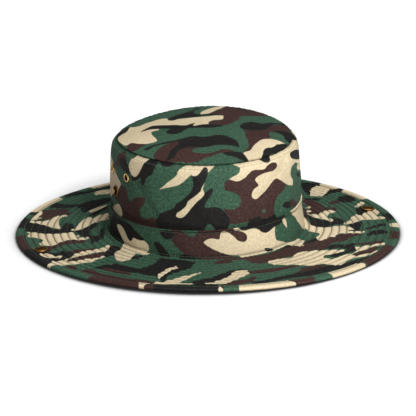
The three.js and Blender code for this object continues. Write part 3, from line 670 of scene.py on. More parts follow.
# Crown tip. A near-round disc of the same twill, sewn to the wall with its edge turned down and
# topstitched. It rises in a low dome. The print is charted in millimetres from the middle,
# to the right and to the back.
tip_radius = wall_foot_radius - crown_taper
tip_cloth = 0.0012
tip_dome = 0.0116
tip_out = [0, 0.32, 0.6, 0.8, 0.93, 1]
tip_fall = [0, 0.1, 0.34, 0.6, 0.85, 1]
tip_columns = 400
tip_rows = 72
tip_print = [
    ("tan", (-56, 50), (-54, 45), (-49, 41.5), (-40, 46), (-31, 48), (-24, 46), (-21.5, 42),
     (-23.5, 36), (-22, 31.5), (-17, 31), (-7, 26.5), (2.5, 23), (12, 20), (25, 19.5), (23.5, 13),
     (20, 7), (11, 6.5), (6, 3), (2.5, -3), (-10.5, -2), (-20, 0), (-32, 8), (-40, 14), (-42, 8),
     (-49, 8), (-51, 3.5), (-52, -6), (-52.5, -16), (-55, -19), (-63.5, -17), (-68.5, -11),
     (-72.5, -2), (-77, -3.5), (-79, 1), (-79, 12), (-78, 20.5), (-74.5, 30), (-63.5, 38.5)),
    ("brown", (3.5, -3), (6.5, 4), (20, 6), (24, 13), (26, 20), (15, 24), (8.5, 30), (14.5, 30),
     (20.5, 33.5), (27.5, 39.5), (35, 48), (41, 57.5), (45.5, 67), (49, 80), (72, 70), (88, 40),
     (84, 22), (75, 27), (66, 20.5), (56.5, 18), (43, 15.5), (38.5, 11), (36, 5), (30, -1),
     (24, -7), (19, -9.5), (13, -11), (7, -6)),
    ("black", (-21.5, 30), (-23.5, 35), (-20.5, 41), (-13, 45.5), (-5, 49), (2.5, 51), (8.5, 56.5),
     (14.5, 63), (18, 64), (17.5, 59), (12, 53), (7, 48), (5, 42), (5.5, 36), (8.5, 30), (15.5, 27.5),
     (26, 20.5), (19, 21), (12, 23.5), (5, 25), (-1, 26), (-7, 29), (-13, 33), (-17.5, 29.5)),
    ("tan", (8, 32), (12, 41), (19, 48), (27.5, 55), (36, 61), (39.5, 67), (43, 76), (47, 84),
     (52, 80), (45, 67), (41, 57.5), (33.5, 48), (26.5, 41), (20.5, 35), (14.5, 30)),
    ("black", (50, 80), (62, 70), (74, 54), (70, 47), (60, 46), (56, 38), (52, 44), (52, 54),
     (47, 62), (46, 70)),
    ("black", (-56.5, 18), (-51.5, 23), (-43, 27), (-38, 24.5), (-31, 18), (-24, 9.5), (-17, 4),
     (-11, 6), (-8, 6.5), (-8, 4), (-11, 0.5), (-11, -3), (-6, -2), (2.5, -3.5), (7, -6),
     (14.5, -9.5), (12, -13), (5, -14), (-1, -13), (-7, -10), (-17, -6.5), (-21.5, -8.5),
     (-27.5, -13), (-33.5, -14), (-39, -8), (-38, -1), (-33, 2.5), (-36, 7), (-42, 13), (-48, 18)),
    ("brown", (29, -25), (36, -20), (54, -18), (65, -9.5), (82, -3), (84, -20), (70, -24),
     (60, -28), (56, -33), (53, -30), (50, -37), (48, -45), (44, -49), (38, -51), (32, -57),
     (26, -62), (20, -69), (12, -75), (9, -74), (14, -70), (20, -63), (23, -52), (25, -41),
     (28, -33)),
    ("black", (58, -28), (64, -24), (73, -24), (80, -26), (80, -37), (72, -46), (64, -55), (62, -45),
     (64, -38), (62, -34)),
    ("black", (28, -19), (31, -12), (37, -6), (45.5, -2), (50.5, -5), (55, -7), (63.5, -2.5),
     (71, 0), (84, 2), (84, -5), (71, -5), (65, -8.5), (61, -14.5), (54, -20.5), (50, -25),
     (43, -27), (36, -27), (30.5, -26)),
    ("tan", (47, -48), (53, -50.5), (56, -54), (58.5, -57), (54, -59), (49, -59), (45.5, -62.5),
     (41, -66), (36, -67), (31, -71.5), (27.5, -78), (24, -84), (20, -92), (10, -92), (9.5, -75),
     (18, -71), (24, -63.5), (30, -57), (38.5, -50)),
    ("black", (59, -57), (52, -58.5), (45.5, -63), (41, -66), (35, -68), (31, -72), (28, -78),
     (24, -84), (20, -92), (36, -92), (34, -80), (40, -76), (48, -72), (58, -68)),
    ("brown", (-66, -48), (-65.5, -43), (-60, -37), (-51.5, -32), (-43, -30), (-36, -32), (-24, -40),
     (-20, -50), (-31, -53), (-32.5, -56.5), (-29, -61), (-21.5, -65), (-12, -65), (-6, -63.5),
     (0, -66), (6, -71.5), (11, -74), (4, -74), (-8.5, -69.5), (-19, -71), (-27.5, -72),
     (-32.5, -75), (-37, -74.5), (-43, -72), (-49, -67), (-55, -64), (-62, -59), (-70, -54)),
    ("black", (-69, -28), (-69, -26), (-62.5, -24.5), (-50.5, -25), (-38.5, -27.5), (-30, -27),
     (-23, -26), (-18, -29), (-13, -32.5), (-8.5, -33.5), (-1, -32.5), (5, -35), (9.5, -41),
     (12.5, -49), (12, -57.5), (10, -64), (7, -60), (0, -56), (-8.5, -53.5), (-17, -54),
     (-24, -52), (-30, -48), (-36, -47), (-42, -48), (-47, -53), (-51.5, -58), (-60, -58.5),
     (-55, -53), (-51.5, -47), (-45.5, -41.5), (-39.5, -37), (-37.5, -31), (-44.5, -30),
     (-54, -28), (-61, -28), (-66, -30)),
    ("black", (-8, -70), (0, -70), (7, -72.5), (10, -77), (10, -90), (5, -86), (0, -79), (-6, -74.5)),
    ("brown", (-72.5, -2), (-77, -4), (-80, -11), (-79, -20.5), (-74.5, -22), (-69.5, -20),
     (-63.5, -17.5), (-68.5, -10)),
    ("black", (-55, 56), (-63, 50), (-72, 42), (-82, 30), (-86, 15), (-81, 8), (-78.5, 20),
     (-74.5, 29.5), (-69, 33.5), (-64.5, 36), (-60, 43)),
]


def tip_point(angle, share):
    out = 1 - share
    height = tip_dome * (1 - np.interp(out, tip_out, tip_fall))
    lean = tip_line(angle) - foot_height - crown_height
    pucker = seam_pucker * np.exp(-((1 - out) * tip_radius / pucker_reach))
    rumple = 0.35 * MM * out * (1 - out**6) * soft_waves(20, angle, 2.2 * out, 5)
    reach = (tip_radius - oval / 2) * out
    depth = (tip_radius + oval / 2) * out
    rise = foot_height + crown_height + height + lean * out + pucker * seam_ripple(angle) + rumple
    return np.stack([reach * np.sin(angle), -depth * np.cos(angle), rise], axis=-1)


def plan(piece):
    """Where a piece's vertices lie, seen from above."""
    spots = np.empty(3 * len(piece.data.vertices))
    piece.data.vertices.foreach_get("co", spots)
    return spots.reshape(-1, 3)[:, :2]


def tip_flat(angle, share):
    return tip_point(angle, share)[:, :2]


crown_tip = cloth("crown_tip_cloth", tip_columns, tip_rows, tip_point, tip_flat)
tip_corners = [(row[0], np.array(row[1:], dtype=float) * MM) for row in tip_print]
print_cloth(crown_tip, plan(crown_tip), tip_corners)
from_tip_edge = read_attribute(crown_tip, "share") * tip_radius
# Painted shade round the tip's edge, at its seam.
paint_seam_shade(crown_tip, 0.4 * hump(from_tip_edge / (0.6 * MM)))
thicken(crown_tip, tip_cloth)
crown_tip.data.materials.append(printed_face)
crown_tip.data.materials.append(printed_back)
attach(crown_tip, "root")
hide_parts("crown_tip")


# Hat band. A straight strip of the same twill round the foot of the crown, its top edge turned
# in and topstitched, standing a little off the crown.
band_cloth = 0.0014
band_stand = 0.0003
band_columns = 520
band_rows = 28
band_height = 0.0248
band_top_seam = 0.925
band_foot_seam = 0.09
band_print = [
    ("black", (-96, 97), (-84, 99), (-77, 97), (-72, 88), (-67, 73), (-63, 60), (-59.5, 47), (-62, 38),
     (-70, 22), (-77, -12), (-98, -12), (-100, 20), (-98, 60)),
    ("tan", (-87, 60), (-86.3, 67.5), (-82.8, 71.5), (-80.2, 66.5), (-77.7, 56.5), (-75.2, 41.5),
     (-72.6, 29), (-70.7, 26.5), (-69.5, 35), (-68.8, 44.5), (-65.7, 42.5), (-62.5, 42), (-60.3, 44.5),
     (-58, 36.5), (-56.5, 25), (-56.5, 12.5), (-58, 0), (-59, -12), (-76.4, -12), (-77, 10), (-79, 20),
     (-82, 35), (-84.7, 47.5)),
    ("black", (-53, 49), (-51, 51.5), (-49.5, 47.5), (-46.7, 35), (-44.8, 22.5), (-43, 7.5),
     (-41.5, -12), (-47.5, -12), (-49.2, 5), (-51, 22.5), (-52.7, 37.5)),
    ("brown", (-40.5, 106), (-41, 80), (-42, 66), (-40, 48), (-37, 33), (-34, 18), (-31, 8),
     (-29, -12), (-1, -12), (-1.5, 2), (-8, 10), (-12, 60), (-9, 106)),
    ("black", (-49.2, 92.5), (-46.7, 99), (-41.6, 95), (-40.3, 82.5), (-42.2, 70), (-44.8, 65),
     (-47.3, 70), (-49.2, 82.5)),
    ("black", (-37, 5), (-35.5, 16), (-31, 17), (-27.5, 11), (-22, -2), (-22, -12), (-37, -12)),
    ("green", (-36, 106), (-34.5, 95), (-32, 85), (-30, 80), (-27.8, 85), (-26.6, 94), (-26, 106)),
    ("tan", (-22.9, 60), (-21.5, 69), (-18.4, 74), (-14, 69), (-13.3, 82), (-12.3, 95), (-10.3, 96.5),
     (-7, 92), (-5, 98), (-6.2, 112), (-1.8, 112), (0, 92.5), (2.6, 88), (7.4, 90.5), (10.8, 84),
     (12.8, 72.5), (16.2, 65), (19.6, 69), (23.4, 76.5), (22.9, 60), (22.7, 42.5), (23.7, 30),
     (27.8, 20), (33.2, 7.5), (40, 1), (44, -12), (-1.4, -12), (-1.4, 0), (-2.8, 7.5), (-7.6, 12.5),
     (-11.6, 20), (-17.1, 35), (-20.5, 47.5)),
    ("brown", (-10.5, 112), (-10, 96), (-8.2, 89), (-6.2, 80), (-4.5, 70), (-2.8, 59), (0, 52),
     (2, 52.5), (3.1, 62), (2.6, 75), (0.6, 85), (-2.8, 91.5), (-4.8, 96), (-6.2, 112)),
    ("black", (-1.2, 112), (-0.1, 92.5), (2.6, 88), (7.4, 90.5), (10.8, 83), (13.5, 70), (16.9, 65),
     (19.6, 70), (23.7, 76.5), (27.1, 76.5), (29.8, 82.5), (31.5, 92), (31, 112)),
    ("tan", (30.2, 87.5), (31.9, 93), (33.6, 85), (34.4, 72), (33.9, 56), (32.2, 67), (30.9, 77)),
    ("tan", (39.5, 110), (40.7, 97.5), (42, 86.5), (45.5, 72.5), (47.5, 55), (50, 42.5), (53, 27.5),
     (55.7, 14), (59.8, 2), (64, -12), (96, -12), (92, 20), (96, 60), (104, 80), (98, 110)),
    ("black", (13.9, 14), (14.6, 16.5), (17, 13), (20, 6), (19.6, 2), (15.6, 2.5)),
    ("brown", (66, 50), (74, 60), (84, 52), (92, 30), (88, 18), (80, 24), (72, 34)),
    ("black", (110, 112), (112, 70), (120, 50), (132, 44), (140, 60), (136, 84), (140, 112)),
    ("tan", (128, 30), (140, 36), (152, 50), (160, 74), (168, 70), (166, 44), (156, 20), (140, 10)),
    ("brown", (150, 112), (158, 92), (170, 84), (182, 60), (190, 30), (186, -12), (212, -12),
     (214, 30), (204, 60), (196, 84), (192, 112)),
    ("tan", (210, 84), (218, 96), (230, 92), (236, 70), (230, 52), (222, 60), (214, 70)),
    ("black", (222, 30), (232, 40), (244, 34), (250, 10), (248, -12), (226, -12)),
]


def band_point(angle, share):
    foot = foot_line(angle) + clearance
    height = foot + (band_line(angle) - foot) * share
    up = (height - foot) / (tip_line(angle) - clearance - tip_edge - foot)
    inside = wall_radius(angle, up) + clearance + band_stand * share
    held = hump((share - band_top_seam) / 0.05) + hump((share - band_foot_seam) / 0.05)
    ripple = seam_ripple(angle + 1) * hump((share - 0.9) / 0.25)
    ripple = ripple + seam_ripple(angle + 2) * hump((share - 0.05) / 0.2)
    rumple = soft_waves(30, angle, share * band_height / wall_foot_radius, 6)
    swell = (0.22 * rumple + 0.16 * ripple - 0.3 * held) * MM
    return place(angle, inside + band_cloth + swell, height)


def band_flat(angle, share):
    return np.stack([angle * wall_foot_radius, share * band_height], axis=-1)


hat_band = cloth("hat_band_cloth", band_columns, band_rows, band_point, band_flat)
band_share = read_attribute(hat_band, "share")
band_points = band_flat(read_attribute(hat_band, "angle"), band_share)
print_cloth(hat_band, band_points, round_patches(band_print, wall_foot_radius, band_height), wall_lap)
band_gaps = np.minimum(abs(band_share - band_top_seam), abs(band_share - band_foot_seam)) * band_height
# Painted shade along the band's two stitched rows.
paint_seam_shade(hat_band, 0.6 * hump(band_gaps / (0.8 * MM)))
thicken(hat_band, band_cloth)
hat_band.data.materials.append(printed_face)
hat_band.data.materials.append(printed_back)
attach(hat_band, "root")
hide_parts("hat_band")


# Brim. Two plies of twill with a stiffener between them, quilted with rings of stitching, which
# pull the cloth down into grooves. It is nearly flat and pressed thinner at its edge. The print
# is charted in degrees from the front and millimetres from the middle.
brim_width = 0.087
brim_cloth = 0.0018
brim_edge_cloth = 0.001
binding_width = 0.0084
binding_cloth = 0.001
band_foot_radius = wall_foot_radius + clearance + band_cloth
edge_radius = band_foot_radius + brim_width
binding_inner_radius = edge_radius - binding_width
brim_out = [0, 0.2, 0.45, 0.72, 1]
brim_fall = [0, 0.17, 0.41, 0.68, 1]
brim_under_at_edge = binding_cloth + clearance
quilt_first = 0.0985
quilt_pitch = 0.00695
quilt_rings = 11
groove_depth = 0.00105
groove_half_width = 0.0006
quilt_puff = 0.0005
brim_columns = 640
brim_top_rows = 78
brim_print = [
    ("brown", (-60, 142), (-56, 146), (-51, 148), (-50, 152), (-52, 156), (-56, 157), (-60, 155)),
    ("black", (-59.5, 102.5), (-57.6, 104), (-56.5, 112), (-58, 117), (-60, 110)),
    ("black", (-62.5, 142), (-60.5, 140), (-59.5, 150), (-60.5, 158), (-62.5, 156)),
    ("brown", (-70, 165), (-67, 164), (-65, 168), (-65.5, 176), (-70, 176)),
    ("black", (22, 97), (27, 95), (34, 95), (35, 104), (40, 108), (34, 112), (29, 108), (25, 103)),
    ("brown", (33, 112), (40, 114), (46, 112), (52, 116), (55, 126), (48, 128), (42, 128), (37, 124)),
    ("brown", (50, 126), (57, 126), (60.5, 134), (61.5, 147), (59, 147), (57, 140), (51, 138)),
    ("brown", (47, 149.5), (49.5, 150), (51.5, 156), (53.5, 162), (56, 169), (55, 172), (52, 165),
     (49.5, 158)),
    ("black", (65.5, 151), (67.5, 152), (69.5, 158), (72, 164), (73.5, 171), (71, 171), (68.5, 164),
     (66.5, 157)),
    ("brown", (77.5, 97), (81, 96), (86, 99), (91, 103), (96, 107), (93, 107), (88, 103.5),
     (82, 100.5)),
    ("brown", (97.5, 136), (100, 139), (101, 150), (99, 154), (97.5, 146)),
    ("black", (97, 101), (101, 101), (106, 104), (110, 109), (109, 114), (104, 111), (100, 108)),
    ("brown", (94, 111), (98, 114), (103, 117), (107, 122), (108, 127), (104, 130), (99, 129),
     (95, 127)),
    ("black", (106.5, 128), (109, 126), (110, 131), (108.5, 138), (106, 139), (105.5, 133)),
    ("black", (108.6, 148), (110, 152), (112, 160), (114, 168), (114.5, 174), (110.5, 174),
     (109.5, 163), (108, 154)),
    ("black", (-142, 148), (-138.5, 145), (-136, 150), (-136.5, 160), (-138.5, 172), (-143, 174),
     (-142, 162)),
    ("brown", (-135, 148), (-130, 150), (-130, 166), (-134, 170)),
    ("black", (-108, 97), (-103, 98), (-97, 100), (-92, 103), (-89, 110), (-88, 118), (-90.5, 117),
     (-93, 108), (-99, 104), (-106, 102)),
    ("tan", (-78.6, 90), (-57, 90), (-57, 101), (-62, 101.5), (-61, 105), (-59.7, 111), (-58.3, 117),
     (-59, 124.5), (-60.8, 127.5), (-63.2, 125.5), (-66, 120.7), (-69.5, 114.7), (-71.6, 107.8),
     (-73, 102), (-76, 97)),
    ("black", (-78, 103), (-73, 102), (-70, 112), (-66.5, 119), (-68, 126), (-72, 124), (-74.4, 117),
     (-76, 112)),
    ("black", (-85, 148), (-82.8, 146), (-79.3, 144), (-77, 150), (-76.7, 160), (-78, 174), (-88, 174),
     (-89, 163), (-85, 158), (-84, 152)),
    ("brown", (-82, 122), (-80, 120), (-79.5, 128), (-80, 137), (-79.5, 144), (-82, 145), (-83.5, 138),
     (-83, 130)),
    ("tan", (-81.1, 105), (-78.6, 108), (-75.8, 113), (-74.4, 118), (-75.1, 122), (-75.5, 129.5),
     (-75.8, 138.5), (-75.5, 146.5), (-75.1, 155), (-74.4, 160), (-73, 156), (-72, 149.5),
     (-72.3, 143.5), (-70.9, 136.5), (-70.2, 128.5), (-68.8, 127.5), (-68.1, 133.5), (-68.1, 139.5),
     (-67.4, 145.5), (-68.5, 151.3), (-70.2, 159.3), (-71.6, 165), (-72.3, 174), (-75.8, 174),
     (-77.9, 170), (-76.5, 164), (-76.5, 156), (-77.2, 149.5), (-79.3, 144.5), (-80, 136.5),
     (-79.3, 127.5), (-79.3, 117), (-80.4, 111)),
    ("brown", (-75, 122), (-71, 125), (-70.5, 134), (-72, 144), (-72, 150), (-73, 156), (-74.5, 159.5),
     (-75.3, 150), (-75.8, 138)),
    ("tan", (-86.7, 168.7), (-84.9, 163), (-82, 160), (-81, 155.5), (-79.7, 156.5), (-79, 160),
     (-80.7, 165), (-82, 170.5), (-85.6, 171)),
    ("brown", (-94.7, 121.7), (-91.2, 120.7), (-90.5, 131.6), (-89.8, 147.4), (-88.4, 159.3),
     (-91.9, 162), (-93.3, 149.4), (-95.4, 138.5), (-95.8, 129.6)),
    ("black", (-117, 105), (-111, 107), (-105, 112), (-100, 113), (-97, 108), (-99, 102), (-92, 104),
     (-90, 110), (-91, 117), (-95, 115.5), (-97.5, 120), (-101, 123), (-106, 126), (-108, 118),
     (-112.5, 113), (-116, 109)),
    ("black", (-117.8, 131.6), (-113.6, 127.6), (-105, 126), (-104.5, 137.5), (-104.8, 147.5),
     (-106, 156), (-108, 164), (-110.5, 174), (-119.2, 174), (-118.2, 163), (-116.4, 157),
     (-114, 151.3), (-111.5, 145.5), (-110.8, 139.5), (-113.6, 137.5), (-117.1, 136.5)),
    ("tan", (-105.2, 128.6), (-101, 126.1), (-98.9, 122.7), (-98.2, 125.6), (-96.8, 124.6),
     (-96.1, 117.7), (-94.7, 115.7), (-93.3, 120.7), (-94.4, 126.6), (-95.8, 131.6), (-96.1, 136.5),
     (-94.7, 143.4), (-92.6, 150.3), (-93.2, 157), (-94.5, 162), (-96.5, 162.2), (-98.2, 157.8),
     (-99.6, 157.3), (-101.7, 160.2), (-103.8, 167.2), (-105.2, 170.5), (-107.3, 168),
     (-110.1, 171), (-108.7, 164.2), (-106.6, 156.3), (-105.2, 147.4), (-104.9, 136.5)),
    ("tan", (-131.5, 101.9), (-126.9, 97.9), (-121.3, 96.5), (-119.2, 102.9), (-116.4, 108.8),
     (-112.9, 112.8), (-108.7, 117.7), (-107, 124.6), (-107.3, 129), (-108.7, 129), (-110.8, 124.6),
     (-115, 122.7), (-119.9, 121.2), (-125.5, 118.7), (-124.1, 113.3), (-125.5, 109.8),
     (-128.3, 107.8)),
    ("black", (-142, 110), (-136, 108), (-130, 110), (-126, 114), (-126, 119), (-131.5, 117.5),
     (-137, 114), (-142, 114)),
    ("tan", (-146.5, 118.2), (-142.3, 115.2), (-136.7, 115.2), (-132.2, 118.2), (-133.6, 123.2),
     (-138.1, 121.2), (-143, 120.2)),
    ("black", (-152, 123), (-144, 121.5), (-137, 123), (-133, 128), (-136.5, 134), (-137.5, 140),
     (-140, 145), (-148, 142), (-154, 134)),
    ("brown", (-132, 137), (-128, 140), (-127, 147), (-124.5, 152), (-121.5, 156), (-121, 161),
     (-122, 170), (-124, 162), (-127, 167), (-131, 166), (-134, 160), (-133, 150), (-131, 143)),
    ("tan", (-127.9, 139.5), (-126.2, 139), (-125.5, 142.4), (-122, 143.9), (-119.2, 142.9),
     (-115, 141.5), (-113.3, 139), (-110.8, 139.5), (-111.9, 145.4), (-114.3, 151.3), (-116.4, 157.3),
     (-118.5, 163.2), (-119.6, 171), (-121.7, 171), (-120.6, 161.2), (-121.3, 155.3),
     (-124.1, 151.3), (-126.6, 147.4)),
    ("tan", (-132.2, 173), (-129.7, 167.7), (-126.2, 167.7), (-124.1, 162.2), (-123.1, 167.2),
     (-122.5, 174)),
    ("black", (-60, 135), (-53, 134), (-46, 136), (-43, 140), (-43.2, 146), (-48, 146), (-53, 149),
     (-60, 147)),
    ("black", (-46, 101), (-28, 99), (-26.5, 106), (-27, 114), (-29.2, 121), (-31.3, 126.5),
     (-32.4, 131.5), (-33.4, 138.5), (-34.1, 147.5), (-34.5, 155), (-35.5, 163.5), (-36.9, 157.5),
     (-38.3, 151.5), (-39.5, 146), (-41.5, 150), (-44, 147), (-46.5, 138), (-46.5, 120)),
    ("brown", (-56, 151), (-52.3, 147.4), (-48.8, 151.3), (-50.2, 156.3), (-53.7, 157.3)),
    ("brown", (-62, 161), (-55.8, 165), (-46, 165), (-43.9, 162), (-37.6, 165), (-36.5, 174),
     (-50, 174), (-62, 174)),
    ("tan", (-35.2, 116.7), (-33.8, 120.7), (-33.5, 124.1), (-35.2, 126.6), (-35.5, 131.6),
     (-36.2, 138.5), (-36.9, 147.4), (-37, 155.3), (-38, 150.3), (-38.9, 145.4), (-38.4, 138.5),
     (-38, 131.6), (-37.6, 125.6), (-35.9, 122.7)),
    ("black", (-18, 139.5), (-15.2, 135.5), (-12.4, 130.6), (-8, 126.5), (-4.5, 128), (-4, 133),
     (-11, 146), (-15, 156), (-18, 160), (-20.8, 164), (-21.5, 168), (-25, 167), (-25.4, 160.2),
     (-22.9, 155.3), (-19.4, 147.4), (-18.4, 143.4)),
    ("brown", (-12, 160), (-8, 155), (-5, 150), (-5, 158), (-7, 165), (-12, 170), (-16, 168)),
    ("tan", (-11, 134.5), (-10, 132.1), (-7.5, 130.6), (-5.1, 131.6), (-4, 136.5), (-5.1, 141.5),
     (-7.5, 146.4), (-9.6, 151.3), (-11.7, 157.3), (-13.8, 162.2), (-15.2, 166), (-20.8, 166),
     (-21.2, 162.7), (-18.7, 161.2), (-17.3, 156.3), (-15.2, 151.3), (-13.1, 145.4), (-11.7, 139.5)),
    ("tan", (-23.6, 131.1), (-23.3, 134), (-24.7, 138.5), (-26.4, 145.4), (-27.8, 153.3),
     (-29.2, 161.2), (-29.6, 164.7), (-25.7, 165.2), (-25.7, 167), (-34, 168), (-34.5, 174),
     (-37.5, 174), (-37.3, 167.2), (-36.9, 161.2), (-35.5, 165.2), (-34.1, 157.3), (-32.7, 155.3),
     (-32, 151.3), (-29.9, 145.4), (-27.1, 139.5), (-25, 134.5)),
    ("black", (-34, 168), (-26, 168), (-17, 167), (-17, 174), (-34, 174)),
    ("brown", (-16, 98), (-16, 108), (-10, 106), (-8, 101), (-2, 103), (-1, 112), (2, 118), (7, 117),
     (12, 113), (20, 118), (28, 115), (33, 119), (38, 128), (44, 128), (52, 134), (54, 128),
     (46, 122), (50, 113), (44, 104), (30, 98), (10, 97)),
    ("brown", (-4.7, 135.5), (3, 135), (10, 136.5), (15, 138.5), (17, 143.4), (12, 144), (3, 145.4),
     (-4, 142.4)),
    ("brown", (15.6, 147), (21.2, 149), (24, 151.3), (25, 157.3), (19, 158.5), (8.6, 158.5), (14, 152)),
    ("black", (-6, 164), (0, 160.5), (7, 158.5), (16, 158), (25, 158.5), (27, 165), (31, 166),
     (36, 168), (41, 174), (28, 174), (14, 169), (4, 167), (-4, 169)),
    ("tan", (33.8, 90), (33.5, 100), (35, 106.5), (36.8, 108.3), (38.5, 105), (41.3, 103.4),
     (43.8, 101.9), (44.1, 90)),
    ("black", (39, 106), (43, 104), (47, 108.5), (50, 110), (47, 113), (42, 110)),
    ("black", (38, 129), (43, 129), (46, 133), (46, 139), (41, 139)),
    ("black", (40, 141), (44, 139), (48, 143), (49, 149), (46, 149), (43, 154), (40, 153), (36, 151),
     (33, 148), (31, 143), (33, 139.5), (36, 143.5), (39, 147), (41.5, 146)),
    ("tan", (7.2, 120.7), (8.3, 115.7), (10, 114.3), (14.2, 115.2), (17.7, 118.2), (20.5, 119),
     (24, 116.7), (26.8, 115.7), (30.3, 117.7), (33.1, 121.7), (35.2, 126.6), (37, 131.6),
     (38.7, 137.5), (40.8, 143.5), (40, 146.5), (38, 146), (35.9, 143.4), (33.8, 140), (31, 137.5),
     (29.6, 140.5), (30, 145.5), (31.7, 150.3), (35.9, 152), (40.6, 155.5), (43.4, 155), (45.5, 151),
     (47.3, 154.3), (49.7, 160), (51.8, 165), (54.3, 172), (52, 174), (51, 170), (49, 164.5),
     (45.5, 161), (42, 158.3), (38.5, 156.8), (37.5, 160), (41.3, 165), (44.8, 169), (46, 174),
     (41, 171), (38, 167.2), (34.5, 163), (31.7, 161.7), (30.3, 164.2), (27.5, 165.7), (26.1, 163),
     (25.4, 157.3), (24.4, 151.3), (21.2, 148.4), (17.7, 144.4), (16.3, 139.5), (14.2, 135.5),
     (11.4, 131.6), (9, 127.6), (7.9, 122.7)),
    ("brown", (39, 158), (42, 159), (46, 162), (49, 165.5), (50.5, 171), (46, 171), (42, 166), (38.5, 161)),
    ("brown", (48.3, 126.6), (51.8, 125.6), (56, 126.6), (59.2, 129.6), (59.9, 136.5), (56, 138.5),
     (52.5, 138.5), (50.4, 134.5), (47.6, 129.6)),
    ("black", (65, 141), (70, 136), (73, 138), (76, 145), (76, 150), (72, 148), (66, 146), (64, 150),
     (62, 146)),
    ("black", (58.5, 154), (61, 153.5), (63.5, 158), (65, 164), (65.5, 170), (63, 172), (61, 166),
     (59.5, 160)),
    ("tan", (46.6, 115.7), (50, 109.8), (52.5, 110.3), (55.3, 110.8), (56.7, 108.8), (57.8, 104.9),
     (58.1, 99.9), (62.3, 96), (65, 90), (90, 90), (86, 95), (78, 98.5), (70, 99.9), (67.9, 101.9),
     (66.5, 105.8), (65.8, 110.8), (66.5, 115.7), (67.9, 120.7), (69.3, 124.6), (69.7, 129.6),
     (69.3, 133.5), (67.9, 136), (66.5, 139.5), (65.1, 140.5), (64.4, 136.5), (62.7, 135.5),
     (63, 141.5), (63.7, 149.4), (63, 151), (61.6, 149.4), (60.6, 141.5), (60.2, 134.5),
     (59.2, 128.6), (56.7, 125.6), (53.9, 125.6), (52.5, 120.7), (49.7, 118.7)),
    ("black", (67.9, 101.9), (70, 99.9), (74.2, 100.5), (79.8, 100.5), (86, 102), (84, 104),
     (79.8, 107.8), (77.7, 111.8), (76.3, 116.7), (74.9, 119.7), (76.3, 122.7), (79.8, 121.7),
     (80.5, 126.6), (77, 131.6), (74.9, 133.5), (71.4, 130.6), (70, 124.6), (67.9, 118.7),
     (66.5, 112.8), (66.9, 105.8)),
    ("brown", (87.5, 104.9), (91, 106.8), (94.5, 109.8), (98, 115.7), (102.2, 120.7), (98, 124.6),
     (95.2, 127.6), (93.8, 138.5), (90.3, 136.5), (90.3, 131.6), (91, 126.6), (89.6, 119.7),
     (86.8, 114.7), (85.8, 110.8)),
    ("tan", (74.6, 120.2), (76.3, 117.7), (78.1, 112.8), (79.1, 108.8), (82.6, 104.9), (86.1, 102.9),
     (87.5, 104.4), (85.8, 107.8), (85.4, 112.8), (87.5, 116.7), (89.6, 121.7), (90.7, 126.6),
     (90.3, 131.6), (88.9, 133.5), (87.5, 130.6), (86.8, 125.6), (84.7, 122.7), (81.9, 119.7),
     (79.8, 120.2), (77.7, 123.2), (75.6, 122.2)),
    ("tan", (71.1, 132.5), (73.5, 132.1), (74.9, 135.5), (77, 139.5), (80.5, 141.5), (83.3, 147.4),
     (85.4, 151.3), (84, 153.3), (86.8, 159.3), (88.2, 165.2), (89.6, 174), (85.4, 174),
     (82.6, 168.2), (80.5, 174), (78.8, 174), (78.1, 164.2), (77.7, 156.3), (77, 149.4),
     (74.9, 145.4), (72.8, 139.5), (71.4, 135.5)),
    ("black", (84, 152.3), (86.1, 151.3), (91, 156.3), (93.1, 161.2), (93.8, 165.2), (93.1, 169.1),
     (89.6, 170.1), (88.2, 165.2), (86.8, 159.3), (84.7, 155.3)),
    ("tan", (92.6, 157.5), (94.5, 160.2), (95.9, 165.2), (98, 173), (95.9, 173), (94, 166.2)),
    ("black", (98, 156.3), (100.8, 150.3), (102.2, 155.3), (105, 163.2), (106.4, 173), (102.2, 173),
     (99.4, 165.2)),
    ("tan", (109.2, 145.4), (110.6, 141.5), (112, 140.5), (114.1, 144.4), (116.9, 151.3),
     (118.3, 159.3), (119.7, 169.1), (119.5, 174), (114.8, 174), (112.7, 165.2), (110.6, 156.3),
     (109.2, 150.3)),
    ("black", (114.1, 141.5), (116.9, 143.4), (121.1, 153.3), (124.6, 167.2), (125.3, 174), (120, 174),
     (118.3, 160.2), (116.9, 151.3), (114.8, 145.4)),
    ("black", (104, 108), (112, 104), (122, 110), (128, 122), (132, 138), (128, 142), (122, 130),
     (114, 118), (106, 114)),
    ("brown", (134, 108), (142, 116), (146, 130), (144, 148), (148, 164), (140, 168), (134, 154),
     (134, 136), (130, 120)),
    ("tan", (150, 102), (156, 108), (158, 122), (154, 136), (158, 150), (164, 158), (160, 164),
     (152, 156), (149, 142), (151, 124), (147, 110)),
    ("black", (160, 112), (170, 108), (178, 116), (176, 130), (168, 138), (172, 150), (168, 160),
     (162, 146), (164, 128)),
    ("tan", (90.5, 105.5), (93, 106.5), (93, 109), (91, 110.5), (89.8, 108)),
    ("tan", (96, 110), (98.5, 112), (98, 116), (96.5, 115)),
    ("brown", (184, 100), (194, 104), (200, 116), (196, 128), (190, 120), (182, 124), (180, 110)),
    ("tan", (180, 140), (190, 136), (198, 142), (204, 154), (200, 164), (190, 156), (184, 160),
     (178, 152)),
    ("black", (186, 166), (194, 164), (206, 168), (210, 174), (188, 174)),
]


def place_on_brim(angle, radius, height):
    """The brim is cut a little wider at the right and at the front."""
    wider = 0.0011 * np.sin(angle) + 0.0007 * np.cos(angle)
    return place(angle, radius + wider * np.maximum(0, radius - band_foot_radius) / brim_width, height)


def brim_groove(radius):
    """How deep the stitching pulls the cloth in, nought between the rings."""
    ring = np.round((radius - quilt_first) / quilt_pitch)
    ring = np.clip(ring, 0, quilt_rings - 1)
    gap = radius - quilt_first - ring * quilt_pitch
    pillow = 0.5 + 0.5 * np.cos(math.pi * np.clip(2 * gap / quilt_pitch, -1, 1))
    return groove_depth * (0.75 * np.exp(-((gap / groove_half_width) ** 2)) + 0.25 * pillow)


